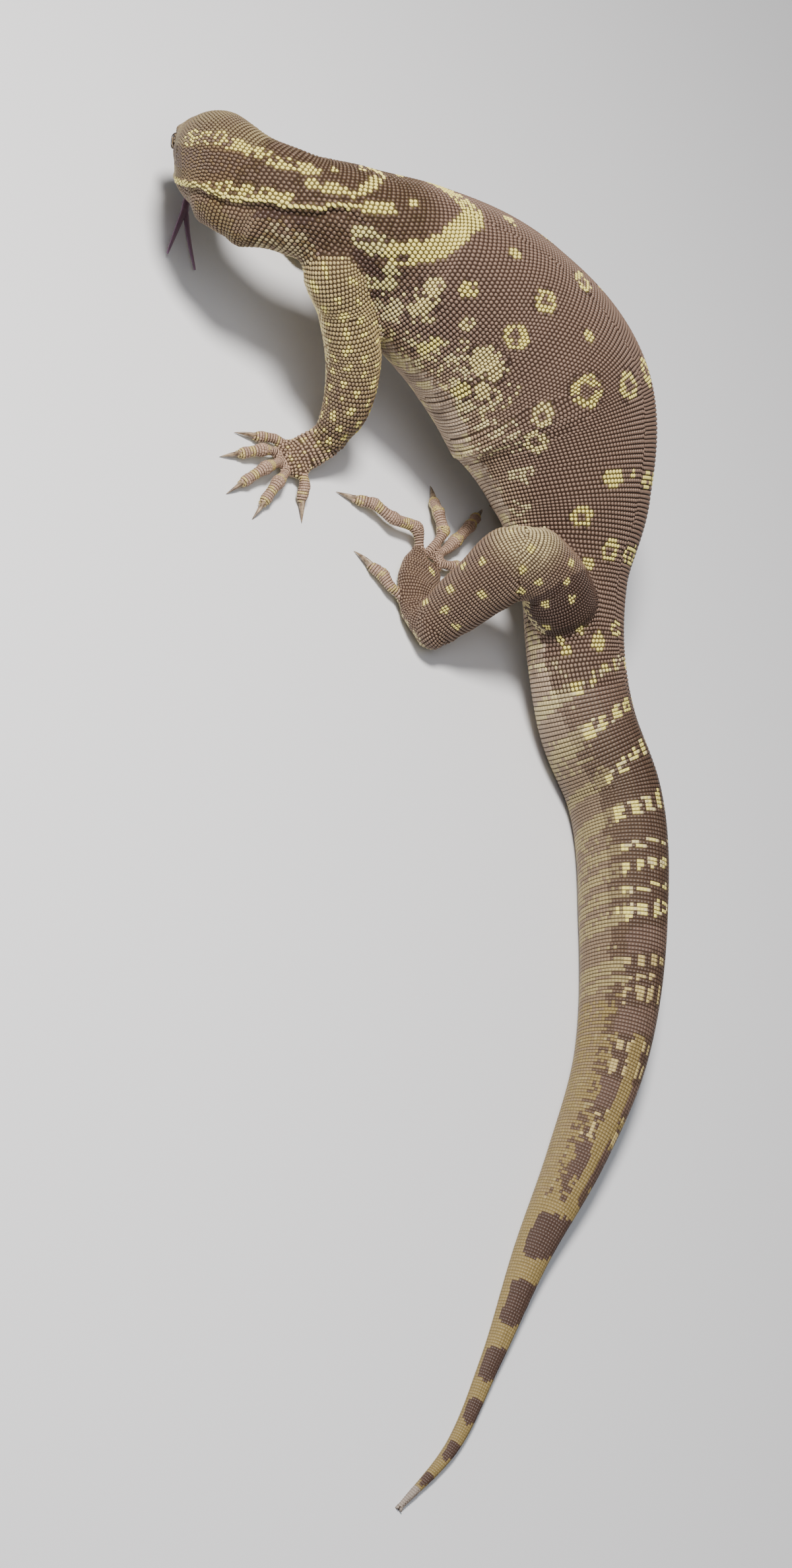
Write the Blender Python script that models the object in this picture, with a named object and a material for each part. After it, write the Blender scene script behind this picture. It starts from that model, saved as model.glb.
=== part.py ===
"""A water monitor lizard at life size, standing on a flat floor.

The nose points along -X, the left side faces -Y and the floor is the plane z = 0.
The body is one loft along a bent spine, cut across into a head, a neck, a torso and
three lengths of tail. A leg is a loft along its own bones, cut at its joints, and a
hand or foot is a flat pad with five digits fused to it. All lengths are millimetres
until a mesh is made.
"""
import math
from collections import namedtuple

import bmesh
import bpy
import numpy as np

METRES = 0.001
GAP = 0.3                 # air between neighbouring nodes
FLOOR_DIP = 0.4           # how far a resting form is pressed into its flat

# A section of the body: where the spine passes, the half width, the heights of the top,
# of the widest line and of the bottom above the spine, how square the outline is
# (2 is an ellipse), and which way the back faces there.
Section = namedtuple("Section", "place half_width top widest bottom square up")

# The head hangs from a neck that bends to the animal's right and down, to smell the floor.
OCCIPUT = (-320, 61, 77)
HEAD_AIM = (-0.097, 0.534, -0.840)
HEAD_UP = (-0.865, 0.373, 0.336)

# x runs forwards from the occiput along the head; the widest line is the line of the mouth
HeadSection = namedtuple("HeadSection", "x half_width top mouth bottom square")
HEAD = [
    HeadSection(78.0, 2.5, 2.0, -1.5, -4.0, 2.0),
    HeadSection(76.5, 6.0, 6.5, -2.0, -6.0, 2.2),
    HeadSection(72.0, 9.2, 11.0, -2.2, -8.0, 2.4),
    HeadSection(62.0, 12.2, 14.5, -2.5, -10.5, 2.7),
    HeadSection(52.0, 14.5, 19.5, -3.0, -13.0, 3.1),
    HeadSection(41.0, 17.3, 24.0, -4.0, -16.5, 3.6),
    HeadSection(28.0, 20.2, 23.0, -6.0, -22.5, 3.3),
    HeadSection(14.0, 22.0, 21.5, -7.0, -32.0, 2.8),
]
MOUTH_CORNER = 24.0       # x of the corner of the mouth
MOUTH_DEPTH = 1.1

BODY = {
    "occiput": Section(OCCIPUT, 22.5, 19.5, -9.0, -40.5, 2.2, HEAD_UP),
    "nape": Section((-298, 62, 94), 21.5, 15.5, -6.0, -42.5, 2.0, (-0.74, 0.47, 0.48)),
    "throat": Section((-286, 65, 100), 22.5, 18.0, -4.0, -45.5, 2.0, (-0.66, 0.49, 0.56)),
    "neck": Section((-275, 69, 103), 23.5, 22.0, -1.0, -36.5, 2.1, (-0.58, 0.50, 0.64)),
    "neck base": Section((-252, 88, 106), 28.5, 30.5, -1.0, -33.0, 2.1, (-0.36, 0.33, 0.87)),
    "shoulders": Section((-221, 124, 101), 42.0, 44.0, -3.0, -46.0, 2.2, (-0.16, 0.18, 0.97)),
    "chest": Section((-173, 168, 93), 57.0, 56.5, -5.0, -55.0, 2.2, (-0.12, 0.17, 0.98)),
    "middle": Section((-115, 192, 84), 64.0, 57.0, -8.0, -58.0, 2.3, (-0.03, 0.21, 0.98)),
    "loin": Section((-64, 184, 70), 48.0, 43.0, -4.0, -43.0, 2.2, (0.08, 0.23, 0.97)),
    "hips": Section((-25, 167, 55), 34.0, 30.0, -1.0, -29.0, 2.1, (0.11, 0.23, 0.97)),
    "vent": Section((15, 149, 42), 28.0, 28.0, 0.0, -27.0, 2.1, (0.07, 0.30, 0.95)),
}

# The tail lies on its lower right edge, so its height follows from its size and roll.
TailSection = namedtuple("TailSection", "x y half_width half_height roll")
TAIL = [
    TailSection(50, 142, 26.5, 28.5, 21),
    TailSection(91, 138, 23.5, 27.8, 25),
    TailSection(155, 93, 18.6, 25.4, 35),
    TailSection(213, 33, 13.3, 20.4, 45),
    TailSection(245, -26, 9.7, 16.0, 50),
    TailSection(272, -88, 6.0, 10.2, 55),
    TailSection(302, -149, 3.4, 5.6, 60),
    TailSection(323, -201, 2.4, 3.8, 62),
    TailSection(329, -250, 1.4, 1.8, 62),
]
TAIL_SQUARE = 1.85
TAIL_BASE_LIFT = 4.0      # the first tail section is still carried clear of the floor

BODY_SIDES = 32
TAIL_SIDES = 20
LIMB_SIDES = 16

# Limbs: (x, y, z), half width, half height, from the root inside the body outwards
LEFT_ARM = [
    ((-252, 90, 103), 15, 15), ((-237, 74, 97), 19, 19), ((-211, 81, 80), 16.5, 16.5),
    ((-187, 87, 60), 15, 15.5), ((-169, 86, 40), 13.5, 13), ((-160, 83, 21), 10.5, 9),
]
RIGHT_ARM = [
    ((-238, 112, 98), 15, 15), ((-252, 132, 86), 19, 19), ((-250, 154, 69), 16.5, 16.5),
    ((-243, 173, 51), 14.5, 14.5), ((-250, 180, 34), 12.5, 12), ((-263, 171, 19), 10.5, 9),
]
LEFT_LEG = [
    ((-8, 165, 52), 17, 17), ((-14, 141, 61), 21, 21), ((-34, 127, 72), 20, 20),
    ((-50, 116, 75), 18.5, 17.5), ((-46, 100, 44), 17.5, 17.5), ((-42, 88, 17), 15, 13),
]
RIGHT_LEG = [
    ((-14, 166, 51), 17, 17), ((-10, 183, 45), 19.5, 19.5), ((-28, 198, 45), 19, 18.5),
    ((-42, 207, 42), 17, 17), ((-24, 212, 27), 15.5, 15), ((-6, 214, 16), 11, 10),
]
ELBOW = 3                 # the limb station at the elbow or knee, where it is parted
JOINT_REACH = 0.62        # how far a limb runs on past its joint, in half heights there
JOINT_TAPER = 0.6         # and what is left of its thickness at that end
LIMB_STEP = 6.0
GENTLE_BEND = 0.6         # cosine of the bend below which a limb is parted at its joint
HEEL_ROUND = 1.0          # the ball of the wrist or heel, in half sizes of the limb's end

# A hand or foot: the pad's stations, then each digit's path from inside the pad to its end
LEFT_HAND_PAD = [((-160, 82, 18), 10.5, 8.5), ((-160, 70, 7.5), 11, 7.7), ((-160, 57, 4.7), 11, 5.2)]
LEFT_HAND = {
    1: [(-164, 68, 8), (-174, 59, 7), (-181, 49, 3.3)],
    2: [(-164, 62, 6), (-171, 44, 8), (-175, 30, 3.3)],
    3: [(-161, 60, 6), (-161, 38, 9), (-159, 20, 3.3)],
    4: [(-157, 62, 6), (-151, 42, 8), (-144, 27, 3.3)],
    5: [(-155, 68, 8), (-144, 60, 8), (-136, 56, 3.3)],
}
RIGHT_HAND_PAD = [((-265, 166, 17), 10.5, 8.5), ((-276, 162, 7.5), 11, 7.7),
                  ((-289, 160, 4.7), 11, 5.2)]
RIGHT_HAND = {
    1: [(-277, 156, 8), (-284, 147, 7), (-291, 140, 3.3)],
    2: [(-283, 156, 6), (-298, 149, 8), (-310, 144, 3.3)],
    3: [(-285, 159, 6), (-305, 157, 9), (-320, 156, 3.3)],
    4: [(-283, 163, 6), (-302, 167, 8), (-315, 171, 3.3)],
    5: [(-277, 167, 8), (-285, 176, 8), (-290, 183, 3.3)],
}
LEFT_FOOT_PAD = [((-42, 88, 16), 14.5, 12), ((-49, 91, 9), 14.5, 9), ((-64, 101, 7.4), 14, 7.8),
                 ((-77, 122, 6), 13, 6)]
LEFT_FOOT = {
    1: [(-72, 128, 7), (-66, 140, 7), (-62, 152, 3.3)],
    2: [(-75, 126, 6), (-79, 152, 7), (-83, 169, 8), (-87, 186, 3.3)],
    3: [(-79, 122, 6), (-87, 143, 10), (-98, 149, 9), (-107, 158, 3.3)],
    4: [(-77, 116, 6), (-95, 122, 11), (-106, 110, 10), (-118, 104, 8), (-126, 97, 3.3)],
    5: [(-58, 94, 7), (-70, 83, 7), (-80, 82, 6), (-89, 80, 3.3)],
}
RIGHT_FOOT_PAD = [((-5, 214, 15), 11, 10), ((-12, 216, 9), 13, 8.5), ((-27, 220, 7.4), 13.5, 7.8),
                  ((-46, 223, 6), 13, 6)]
RIGHT_FOOT = {
    1: [(-43, 219, 7), (-55, 210, 7), (-63, 205, 3.3)],
    2: [(-47, 219, 6), (-63, 211, 7), (-79, 207, 3.3)],
    3: [(-48, 222, 6), (-67, 220, 10), (-84, 219, 9), (-97, 218, 3.3)],
    4: [(-47, 226, 6), (-67, 231, 11), (-85, 236, 10), (-100, 240, 8), (-111, 243, 3.3)],
    5: [(-29, 226, 7), (-38, 239, 8), (-47, 248, 7), (-54, 253, 3.3)],
}
DIGIT_ROOT = 4.6          # half thickness of a digit where it leaves the pad
DIGIT_END = 3.6           # and at its end, where the claw grows out
DIGIT_SIDES = 8

CLAW_LENGTH = 11.0
CLAW_HALF_HEIGHT = 2.3
CLAW_HALF_WIDTH = 1.6
CLAW_ARCH = 1.6           # how far its back rises above a straight line
CLAW_POINT_HEIGHT = 0.5

EYE_RADIUS = 4.6
EYE_AT = (41.0, 14.4, 12.0)        # forwards, outwards, upwards from the occiput
EAR_AT = (10.0, 24.0, -1.0)
EAR_SIZE = (3.2, 4.0, 5.5)        # half sizes of the hollow of the ear
NOSTRIL_AT = (69.5, 9.3, 5.5)
NOSTRIL_SIZE = (2.4, 1.8, 1.5)

# The tongue leaves the lips, hangs down behind the chin and forks just above the floor.
TONGUE = [((-318, 99, 14), 2.6, 1.5), ((-321, 103, 8.5), 2.6, 1.4), ((-319, 99, 6), 2.4, 1.3),
          ((-313, 92, 5.5), 2.6, 1.2)]
TONGUE_TIPS = [
    [((-315, 94, 5.6), 2.0, 1.1), ((-305, 79, 5), 1.5, 1.0), ((-294, 63, 4), 0.7, 0.6)],
    [((-315, 94, 5.6), 2.0, 1.1), ((-298, 84, 5), 1.5, 1.0), ((-280, 76, 4), 0.7, 0.6)],
]

BROWN = (0.115, 0.068, 0.050)
OLIVE = (0.230, 0.190, 0.090)
PALE = (0.480, 0.430, 0.210)
HORN = (0.200, 0.150, 0.100)
EYE_DARK = (0.012, 0.008, 0.006)
TONGUE_MAUVE = (0.150, 0.060, 0.120)


def unit(vector):
    vector = np.asarray(vector, float)
    return vector / np.linalg.norm(vector)


class Loft:
    """A smooth solid along a path, described by sections at chosen places."""

    def __init__(self, sections):
        self.values = np.array([[*s.place, s.half_width, s.top, s.widest, s.bottom, s.square, *s.up]
                                for s in sections], float)
        steps = np.linalg.norm(np.diff(self.values[:, :3], axis=0), axis=1)
        self.knots = np.concatenate([[0.0], np.cumsum(steps)])
        self.slopes = np.gradient(self.values, self.knots, axis=0)

    def at(self, s):
        """Place and section values at the distance s, by cubic Hermite pieces."""
        i = int(np.clip(np.searchsorted(self.knots, s, side="right") - 1, 0, len(self.knots) - 2))
        span = self.knots[i + 1] - self.knots[i]
        t = (s - self.knots[i]) / span
        a, b = self.values[i], self.values[i + 1]
        da, db = self.slopes[i] * span, self.slopes[i + 1] * span
        value = (a * (2 * t**3 - 3 * t**2 + 1) + da * (t**3 - 2 * t**2 + t)
                 + b * (3 * t**2 - 2 * t**3) + db * (t**3 - t**2))
        tangent = (a * (6 * t**2 - 6 * t) + da * (3 * t**2 - 4 * t + 1)
                   + b * (6 * t - 6 * t**2) + db * (3 * t**2 - 2 * t)) / span
        return value, tangent[:3]

    def frame(self, s):
        """Centre, forward, left and up. Forward is against the direction of s."""
        value, tangent = self.at(s)
        forward = -unit(tangent)
        left = unit(np.cross(value[8:11], forward))
        return value, forward, left, np.cross(forward, left)

    def ring(self, s, angles, swell=0.0, relief=None):
        value, _, left, up = self.frame(s)
        half_width, top, widest, bottom, square = value[3:8]
        points = []
        for angle in angles:
            c, n = math.cos(angle), math.sin(angle)
            across = math.copysign(abs(c) ** (2 / square), c) * half_width
            reach = top - widest if n > 0 else widest - bottom
            rise = widest + math.copysign(abs(n) ** (2 / square), n) * reach
            outwards = unit(left * across / max(half_width, 1e-6) ** 2
                            + up * (rise - widest) / max(reach, 1e-6) ** 2)
            lift = swell + (relief(s, angle) if relief else 0.0)
            points.append(value[:3] + left * across + up * rise + outwards * lift)
        return np.array(points)

    def rings(self, start, end, step, angles, swell=0.0, relief=None):
        count = max(2, int(round((end - start) / step)) + 1)
        return [self.ring(s, angles, swell, relief) for s in np.linspace(start, end, count)]


def even_angles(sides):
    return [2 * math.pi * k / sides for k in range(sides)]


def make_object(name, mesh, collection):
    obj = bpy.data.objects.new(name, mesh)
    collection.objects.link(obj)
    return obj


def solid_from_rings(name, rings, collection):
    """Close a row of like rings into one solid, in metres."""
    bm = bmesh.new()
    rows = [[bm.verts.new(point * METRES) for point in ring] for ring in rings]
    for row, following in zip(rows, rows[1:]):
        for k in range(len(row)):
            after = (k + 1) % len(row)
            bm.faces.new((row[k], row[after], following[after], following[k]))
    bm.faces.new(rows[0])
    bm.faces.new(reversed(rows[-1]))
    bmesh.ops.recalc_face_normals(bm, faces=bm.faces)
    bmesh.ops.triangulate(bm, faces=bm.faces)
    mesh = bpy.data.meshes.new(name)
    bm.to_mesh(mesh)
    bm.free()
    return make_object(name, mesh, collection)


def tube(name, stations, collection, step=4.0, sides=DIGIT_SIDES):
    """A round or oval tube through (place, half width, half height) stations."""
    path = limb_path(stations)
    rings = path.rings(0.0, path.knots[-1], step, even_angles(sides))
    return solid_from_rings(name, rings, collection)


def limb_path(stations):
    return Loft([Section(place, width, height, 0.0, -height, 2.0, (0.0, 0.0, 1.0))
                 for place, width, height in stations])


def ellipsoid(name, centre, frame, half_sizes, collection, segments=16):
    """An ellipsoid whose axes are the columns of frame."""
    bm = bmesh.new()
    bmesh.ops.create_uvsphere(bm, u_segments=segments, v_segments=segments // 2, radius=1.0)
    for vertex in bm.verts:
        local = np.array(vertex.co[:]) * half_sizes
        vertex.co = (np.asarray(centre) + frame @ local) * METRES
    mesh = bpy.data.meshes.new(name)
    bm.to_mesh(mesh)
    bm.free()
    return make_object(name, mesh, collection)


def ring_of_lid(name, centre, frame, radius, thickness, collection):
    """The raised rim of the lids: a thin torus round the eye, facing along frame's second axis."""
    bm = bmesh.new()
    around, across = 16, 5
    rows = []
    for i in range(around):
        turn = 2 * math.pi * i / around
        row = []
        for j in range(across):
            tilt = 2 * math.pi * j / across
            reach = radius + thickness * math.cos(tilt)
            local = np.array((reach * math.cos(turn) * 1.15, thickness * math.sin(tilt),
                              reach * math.sin(turn) * 0.92))
            row.append(bm.verts.new((np.asarray(centre) + frame @ local) * METRES))
        rows.append(row)
    for i in range(around):
        for j in range(across):
            a, b = rows[i], rows[(i + 1) % around]
            bm.faces.new((a[j], a[(j + 1) % across], b[(j + 1) % across], b[j]))
    bmesh.ops.recalc_face_normals(bm, faces=bm.faces)
    mesh = bpy.data.meshes.new(name)
    bm.to_mesh(mesh)
    bm.free()
    return make_object(name, mesh, collection)


def apply_modifiers(obj):
    depsgraph = bpy.context.evaluated_depsgraph_get()
    mesh = bpy.data.meshes.new_from_object(obj.evaluated_get(depsgraph))
    obj.modifiers.clear()
    obj.data = mesh


def combine(obj, tools, operation):
    """Boolean of obj with each tool in turn, or with all at once for a union."""
    if operation == "UNION":
        group = bpy.data.collections.new("joined to " + obj.name)
        bpy.context.scene.collection.children.link(group)
        for tool in tools:
            group.objects.link(tool)
        modifier = obj.modifiers.new("join", "BOOLEAN")
        modifier.operation = operation
        modifier.operand_type = "COLLECTION"
        modifier.collection = group
        modifier.solver = "MANIFOLD"
        apply_modifiers(obj)
        bpy.data.collections.remove(group)
    else:
        for tool in tools:
            modifier = obj.modifiers.new("cut", "BOOLEAN")
            modifier.operation = operation
            modifier.object = tool
            modifier.solver = "MANIFOLD"
            apply_modifiers(obj)
    for tool in tools:
        bpy.data.objects.remove(tool)
    keep_largest(obj)


def keep_largest(obj):
    """Keep only the closed surface with the most faces."""
    bm = bmesh.new()
    bm.from_mesh(obj.data)
    waiting = set(bm.faces)
    groups = []
    while waiting:
        stack = [waiting.pop()]
        group = []
        while stack:
            face = stack.pop()
            group.append(face)
            for edge in face.edges:
                for other in edge.link_faces:
                    if other in waiting:
                        waiting.remove(other)
                        stack.append(other)
        groups.append(group)
    groups.sort(key=len)
    for group in groups[:-1]:
        bmesh.ops.delete(bm, geom=group, context="FACES")
    loose = [v for v in bm.verts if not v.link_faces]
    bmesh.ops.delete(bm, geom=loose, context="VERTS")
    bm.to_mesh(obj.data)
    bm.free()


def slab_below_floor(collection):
    bm = bmesh.new()
    bmesh.ops.create_cube(bm, size=1.0)
    for vertex in bm.verts:
        vertex.co = (vertex.co.x * 1.2, vertex.co.y * 1.2, (vertex.co.z - 0.5) * 0.05)
    mesh = bpy.data.meshes.new("floor")
    bm.to_mesh(mesh)
    bm.free()
    return make_object("floor", mesh, collection)


def flatten_on_floor(obj, collection):
    """Cut away what the form is pressed into the floor by, which leaves its flat."""
    lowest = min(vertex.co.z for vertex in obj.data.vertices)
    if lowest < 0.0:
        combine(obj, [slab_below_floor(collection)], "DIFFERENCE")


def centre_on_floor(objects):
    """Slide everything along the floor until the whole box is centred on the origin."""
    corners = np.array([vertex.co[:] for obj in objects for vertex in obj.data.vertices])
    middle = (corners.min(axis=0) + corners.max(axis=0)) / 2
    for obj in objects:
        for vertex in obj.data.vertices:
            vertex.co.x -= middle[0]
            vertex.co.y -= middle[1]


def give_material(obj, name, colour, roughness):
    material = bpy.data.materials.get(name)
    if material is None:
        material = bpy.data.materials.new(name)
        material.use_nodes = True
        shader = material.node_tree.nodes["Principled BSDF"]
        shader.inputs["Base Color"].default_value = (*colour, 1.0)
        shader.inputs["Roughness"].default_value = roughness
    obj.data.materials.clear()
    obj.data.materials.append(material)
    for polygon in obj.data.polygons:
        polygon.use_smooth = True


def tail_height(section):
    """How far the lowest line of a rolled tail section lies below its centre."""
    roll = math.radians(section.roll)
    power = TAIL_SQUARE / (TAIL_SQUARE - 1)
    across = (section.half_width * math.sin(roll)) ** power
    down = (section.half_height * math.cos(roll)) ** power
    return (across + down) ** (1 / power)


def tail_up(index):
    """Which way the top of the tail faces: up, leaned to the right by the section's roll."""
    ahead = TAIL[max(index - 1, 0)]
    behind = TAIL[min(index + 1, len(TAIL) - 1)]
    right = unit((behind.y - ahead.y, ahead.x - behind.x, 0.0)) * -1.0
    roll = math.radians(TAIL[index].roll)
    return right * math.sin(roll) + np.array((0.0, 0.0, math.cos(roll)))


def body_sections():
    """Every section from the tip of the snout to the tip of the tail."""
    aim = unit(HEAD_AIM)
    sections = [Section(np.array(OCCIPUT) + aim * h.x, h.half_width, h.top, h.mouth, h.bottom,
                        h.square, HEAD_UP) for h in HEAD]
    sections += BODY.values()
    for index, part in enumerate(TAIL):
        lift = TAIL_BASE_LIFT if index == 0 else -FLOOR_DIP
        place = (part.x, part.y, tail_height(part) + lift)
        sections.append(Section(place, part.half_width, part.half_height, 0.0, -part.half_height,
                                TAIL_SQUARE, tail_up(index)))
    return sections


def head_relief(s, angle):
    """The groove of the mouth between swollen lips, and the ridge of the brow."""
    x = HEAD[0].x - s
    side = min(abs(math.sin(angle)), 1.0)
    lift = 0.0
    if x > MOUTH_CORNER:
        fade = min(1.0, (x - MOUTH_CORNER) / 6.0) * min(1.0, s / 3.0)
        if side < 0.01:
            lift -= MOUTH_DEPTH * fade
        elif side < 0.3:
            lift += 0.5 * fade
    brow_turn = math.degrees(math.asin(max(-1.0, min(1.0, math.sin(angle)))))
    brow = math.exp(-((x - EYE_AT[0]) / 9.0) ** 2 - ((brow_turn - 42.0) / 9.0) ** 2)
    return lift + 1.6 * brow


def head_angles():
    """Even angles, with a close pair each side of the line of the mouth."""
    beside = 0.03
    angles = even_angles(BODY_SIDES)
    angles += [beside, -beside % (2 * math.pi), math.pi - beside, math.pi + beside]
    return sorted(angles)


def head_frame():
    """Columns: forwards, left, upwards."""
    forward = unit(HEAD_AIM)
    left = unit(np.cross(HEAD_UP, forward))
    return np.column_stack([forward, left, np.cross(forward, left)])


def head_point(at, side):
    """A place on the head given forwards, outwards and upwards; side is 1 left, -1 right."""
    x, out, rise = at
    return np.array(OCCIPUT) + head_frame() @ np.array((x, out * side, rise))


def build_head(spine, occiput_s, model, cutters):
    rings = spine.rings(0.0, occiput_s - GAP / 2, 3.6, head_angles(), relief=head_relief)
    head = solid_from_rings("head", rings, model)
    frame = head_frame()
    rims, hollows = [], []
    for side in (1, -1):
        tag = "left" if side == 1 else "right"
        eye_at = head_point(EYE_AT, side)
        outwards = np.column_stack([frame[:, 0], frame[:, 1] * side, frame[:, 2]])
        rim_at = head_point((EYE_AT[0], EYE_AT[1] + 2.6, EYE_AT[2]), side)
        rims.append(ring_of_lid("lid_" + tag, rim_at, outwards, EYE_RADIUS - 0.2, 1.0, cutters))
        hollows.append(ellipsoid("socket_" + tag, eye_at, frame, [EYE_RADIUS + GAP] * 3, cutters, 14))
        hollows.append(ellipsoid("ear_" + tag, head_point(EAR_AT, side), frame, EAR_SIZE, cutters, 12))
        hollows.append(ellipsoid("nostril_" + tag, head_point(NOSTRIL_AT, side), frame, NOSTRIL_SIZE,
                                 cutters, 10))
        eye = ellipsoid("eye_" + tag, eye_at, frame, [EYE_RADIUS] * 3, model, 14)
        give_material(eye, "dark eye", EYE_DARK, 0.08)
    combine(head, rims, "UNION")
    stem = limb_path(TONGUE)
    slot_rings = stem.rings(-GAP, stem.knots[-1], 4.0, even_angles(DIGIT_SIDES), GAP)
    slot = solid_from_rings("tongue slot", slot_rings, cutters)
    combine(head, hollows + [slot], "DIFFERENCE")
    give_material(head, "olive head skin", OLIVE, 0.6)


def build_tongue(model, cutters):
    stem = tube("tongue", TONGUE, model, step=4.0)
    tips = [tube("tongue tip", tip, cutters, step=7.0, sides=6) for tip in TONGUE_TIPS]
    combine(stem, tips, "UNION")
    give_material(stem, "mauve tongue", TONGUE_MAUVE, 0.3)


def build_trunk_and_tail(spine, cuts, model, cutters):
    lengths = [
        ("neck", cuts[0], cuts[1], 6.0, BODY_SIDES, BROWN),
        ("torso", cuts[1], cuts[2], 12.0, BODY_SIDES, BROWN),
        ("tail_base", cuts[2], cuts[3], 11.0, TAIL_SIDES, BROWN),
        ("tail_middle", cuts[3], cuts[4], 13.0, TAIL_SIDES, BROWN),
        ("tail_end", cuts[4], spine.knots[-1] + GAP / 2, 13.0, TAIL_SIDES, BROWN),
    ]
    for name, start, end, step, sides, colour in lengths:
        rings = spine.rings(start + GAP / 2, end - GAP / 2, step, even_angles(sides))
        obj = solid_from_rings(name, rings, model)
        if name.startswith("tail"):
            flatten_on_floor(obj, cutters)
        give_material(obj, "brown scaled skin", colour, 0.6)


def rounded_end(before, last):
    """One more station, past the last one, that rounds a limb off at its joint."""
    place, width, height = last
    ahead = unit(np.subtract(place, before[0]))
    return (tuple(np.array(place) + ahead * JOINT_REACH * height), JOINT_TAPER * width,
            JOINT_TAPER * height)


def limb_lengths(stations):
    """The paths of a limb's two lengths and where each starts and ends along its path.

    A limb that bends gently is one path, parted square across. A sharply bent one has two,
    and each is rounded off inside the other.
    """
    upper_way = unit(np.subtract(stations[ELBOW][0], stations[ELBOW - 1][0]))
    lower_way = unit(np.subtract(stations[ELBOW + 1][0], stations[ELBOW][0]))
    if upper_way @ lower_way > GENTLE_BEND:
        path = limb_path(stations)
        joint = path.knots[ELBOW]
        return (path, 0.0, joint - GAP / 2), (path, joint + GAP / 2, path.knots[-1])
    upper = limb_path(stations[:ELBOW + 1] + [rounded_end(stations[ELBOW - 1], stations[ELBOW])])
    lower = limb_path([rounded_end(stations[ELBOW + 1], stations[ELBOW])] + stations[ELBOW:])
    return (upper, 0.0, upper.knots[-1]), (lower, 0.0, lower.knots[-1])


def build_limb(stations, names, spine, core_span, model, cutters):
    """The upper and lower length of a limb, each fitted to what it grows out of.

    Returns the space that the lower length takes, so that the hand or foot can be fitted to it.
    """
    (upper_path, _, upper_end), (lower_path, lower_start, lower_end) = limb_lengths(stations)
    angles = even_angles(LIMB_SIDES)
    core_rings = spine.rings(core_span[0], core_span[1], 6.0, even_angles(BODY_SIDES), swell=2 * GAP)
    upper = solid_from_rings(names[0], upper_path.rings(0.0, upper_end, LIMB_STEP, angles), model)
    combine(upper, [solid_from_rings("core", core_rings, cutters)], "DIFFERENCE")
    lower_rings = lower_path.rings(lower_start, lower_end - GAP / 2, LIMB_STEP, angles)
    lower = solid_from_rings(names[1], lower_rings, model)
    neighbours = [solid_from_rings("core", core_rings, cutters)]
    if upper_path is not lower_path:
        above_rings = upper_path.rings(-GAP, upper_end + GAP, LIMB_STEP, angles, GAP)
        neighbours.append(solid_from_rings("above", above_rings, cutters))
    combine(lower, neighbours, "DIFFERENCE")
    for obj in (upper, lower):
        give_material(obj, "brown scaled skin", BROWN, 0.6)
    return lower_path.rings(lower_start, lower_end + GAP / 2, LIMB_STEP, angles, GAP)


def build_claw(name, end, direction, model):
    """A horny claw that leaves the end of a digit, arches and points down to the floor."""
    ahead = unit(direction)
    level = unit((direction[0], direction[1], 0.0))
    left = np.cross((0.0, 0.0, 1.0), level)
    root = np.array(end) + ahead * GAP
    bend = root + ahead * CLAW_LENGTH / 2 + np.array((0.0, 0.0, CLAW_ARCH))
    point = root + level * CLAW_LENGTH
    point[2] = CLAW_POINT_HEIGHT
    rings = []
    for t in np.linspace(0.0, 1.0, 5):
        taper = 1.0 - 0.9 * t**1.25
        centre = root * (1 - t)**2 + bend * 2 * t * (1 - t) + point * t**2
        heading = ahead if t == 0.0 else unit((bend - root) * (1 - t) + (point - bend) * t)
        up = np.cross(heading, left)
        ring = []
        for k in range(6):
            turn = 2 * math.pi * k / 6
            ring.append(centre + left * math.cos(turn) * CLAW_HALF_WIDTH * taper
                        + up * math.sin(turn) * CLAW_HALF_HEIGHT * taper)
        rings.append(np.array(ring))
    claw = solid_from_rings(name, rings, model)
    give_material(claw, "brown horn", HORN, 0.35)


def build_extremity(name, pad, digits, heel, limb_rings, model, cutters):
    """A hand or foot: the pad and its five digits in one solid, with a claw on each digit."""
    path = limb_path(pad)
    obj = solid_from_rings(name, path.rings(0.0, path.knots[-1], 5.0, even_angles(14)), model)
    fingers = []
    for number, places in digits.items():
        count = len(places) - 1
        stations = [(place, DIGIT_ROOT + (DIGIT_END - DIGIT_ROOT) * k / count,
                     DIGIT_ROOT + (DIGIT_END - DIGIT_ROOT) * k / count)
                    for k, place in enumerate(places)]
        fingers.append(tube(name + " digit", stations, cutters, step=6.0, sides=DIGIT_SIDES))
        before, end = np.array(places[-2], float), np.array(places[-1], float)
        build_claw(f"claw_{name}_{number}", end, end - before, model)
    place, half_width, _ = heel
    fingers.append(ellipsoid(name + " heel", place, np.eye(3), [HEEL_ROUND * half_width] * 3, cutters, 10))
    combine(obj, fingers, "UNION")
    combine(obj, [solid_from_rings("limb", limb_rings, cutters)], "DIFFERENCE")
    flatten_on_floor(obj, cutters)
    give_material(obj, "brown foot skin", BROWN, 0.6)


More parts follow.
